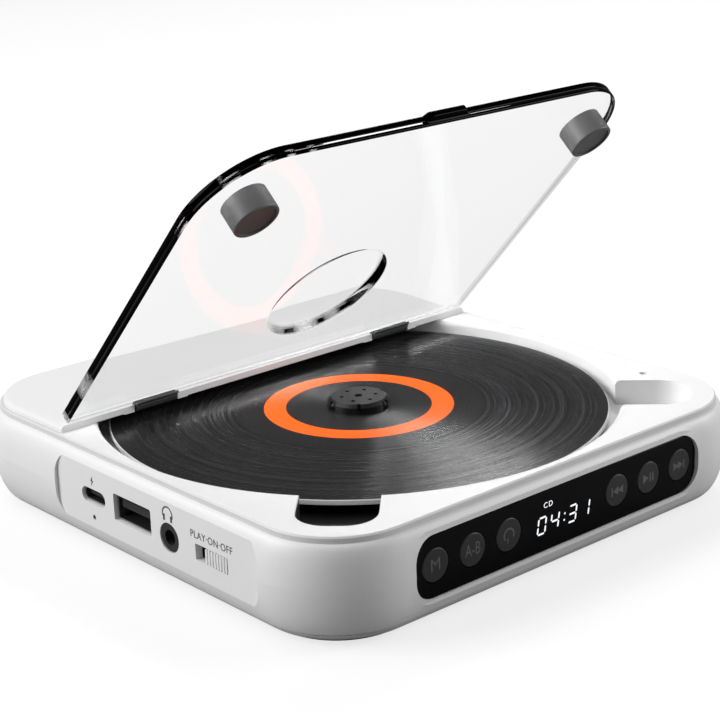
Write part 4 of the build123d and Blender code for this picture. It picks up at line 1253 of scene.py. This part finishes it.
# ---------------- studio
@dataclass
class Studio:
    """Camera, floor and soft lights. Lengths are in metres and angles in degrees."""

    floor_finish: Material
    azimuth: float = -40.89
    elevation: float = 18.31
    roll: float = -1.92
    distance: float = 0.48831
    target: XYZ = (0.02095, 0.02123, 0.0229)
    lens: float = 94.9
    ambient: float = 0.25
    mirrored: float = 0.1
    floor_points: int = 96
    floor_radii: Pair = (0.5, 6.0)
    # name, direction as azimuth and elevation, distance, size and power
    lamps: tuple[tuple[str, float, float, float, float, float], ...] = (
        ("key", -122.0, 30.0, 1.1, 0.8, 10.5),
        ("rear", 126.0, 40.0, 1.2, 0.22, 3.4),
        ("front_fill", 56.0, 22.0, 1.3, 0.7, 9.5),
        ("top", -160.0, 62.0, 1.2, 0.7, 2.4),
    )

    def away(self, azimuth: float, elevation: float) -> Vector:
        """Unit vector from the object towards a direction; azimuth 0 is the front, -90 the left."""
        a, e = math.radians(azimuth), math.radians(elevation)
        return Vector((math.sin(a) * math.cos(e), -math.cos(a) * math.cos(e), math.sin(e)))

    def build_camera(self) -> None:
        """Makes the camera from its bearing, roll and distance."""
        back = self.away(self.azimuth, self.elevation)
        right = Vector((0, 0, 1)).cross(back).normalized()
        up = back.cross(right)
        c, s = math.cos(math.radians(self.roll)), math.sin(math.radians(self.roll))
        axes = Matrix((c * right + s * up, -s * right + c * up, back)).transposed().to_4x4()
        data = bpy.data.cameras.new("camera")
        data.lens = self.lens
        data.clip_start = 0.01
        camera = bpy.data.objects.new("camera", data)
        camera.matrix_world = Matrix.Translation(Vector(self.target) + back * self.distance) @ axes
        bpy.context.scene.collection.objects.link(camera)
        bpy.context.scene.camera = camera

    def build_floor(self) -> None:
        """Makes a round pale floor: two flat rings, closed in the middle and open outside."""
        angle = np.linspace(0, 2 * np.pi, self.floor_points, endpoint=False)
        ring = np.column_stack([np.cos(angle), np.sin(angle), np.zeros(len(angle))])
        points, faces = stacked_rings(np.array([ring * radius for radius in self.floor_radii]))
        outer_pole = len(points) - 1
        mesh = bpy.data.meshes.new("floor")
        mesh.from_pydata(points[:-1].tolist(), [], [face for face in faces if outer_pole not in face])
        mesh.materials.append(self.floor_finish)
        floor = bpy.data.objects.new("floor", mesh)
        bpy.context.scene.collection.objects.link(floor)

    def build_lamps(self) -> None:
        """Makes the soft boxes, each facing the object."""
        for name, azimuth, elevation, distance, size, power in self.lamps:
            light = bpy.data.lights.new(name, "AREA")
            light.shape = "DISK"
            light.size = size
            light.energy = power
            lamp = bpy.data.objects.new(name, light)
            way = self.away(azimuth, elevation)
            lamp.location = way * distance
            lamp.rotation_euler = way.to_track_quat("Z", "Y").to_euler()
            bpy.context.scene.collection.objects.link(lamp)

    def build_world(self) -> None:
        """Makes white surroundings, bright where seen directly or through the clear lid.

        Other rays meet the ambient brightness, and rays that have been mirrored meet less still.
        """
        world = bpy.data.worlds.new("studio")
        world.use_nodes = True
        graph = Graph(world.node_tree)
        background = next(n for n in world.node_tree.nodes if n.type == "BACKGROUND")
        dim = graph.math("GREATER_THAN", graph.node("LightPath").outputs["Glossy Depth"], 0.5)
        around = graph.vary(self.ambient, dim, self.mirrored - self.ambient)
        graph.feed(background.inputs["Color"], (1.0, 1.0, 1.0))
        graph.feed(background.inputs["Strength"], graph.math("MAXIMUM", graph.seen(), around))
        bpy.context.scene.world = world

    def build(self) -> None:
        """Makes the whole studio."""
        self.build_camera()
        self.build_floor()
        self.build_lamps()
        self.build_world()
        bpy.context.scene.view_settings.view_transform = "Standard"


def main() -> None:
    """Builds the finishes, the pieces and the studio in order."""
    logging.basicConfig(level=logging.INFO)
    build_moulded_grain()
    build_turned_rings()
    build_brushed_lines()
    finishes = build_finishes()
    dress_nodes(finishes)
    ClearLid(finishes["clear"]).build()
    DisplayFace(finishes["lit"]).build()
    ButtonFaces(finishes["icon"]).build()
    SideMarks(finishes["print"]).build()
    Studio(finishes["floor"]).build()


if __name__ == "__main__":
    main()
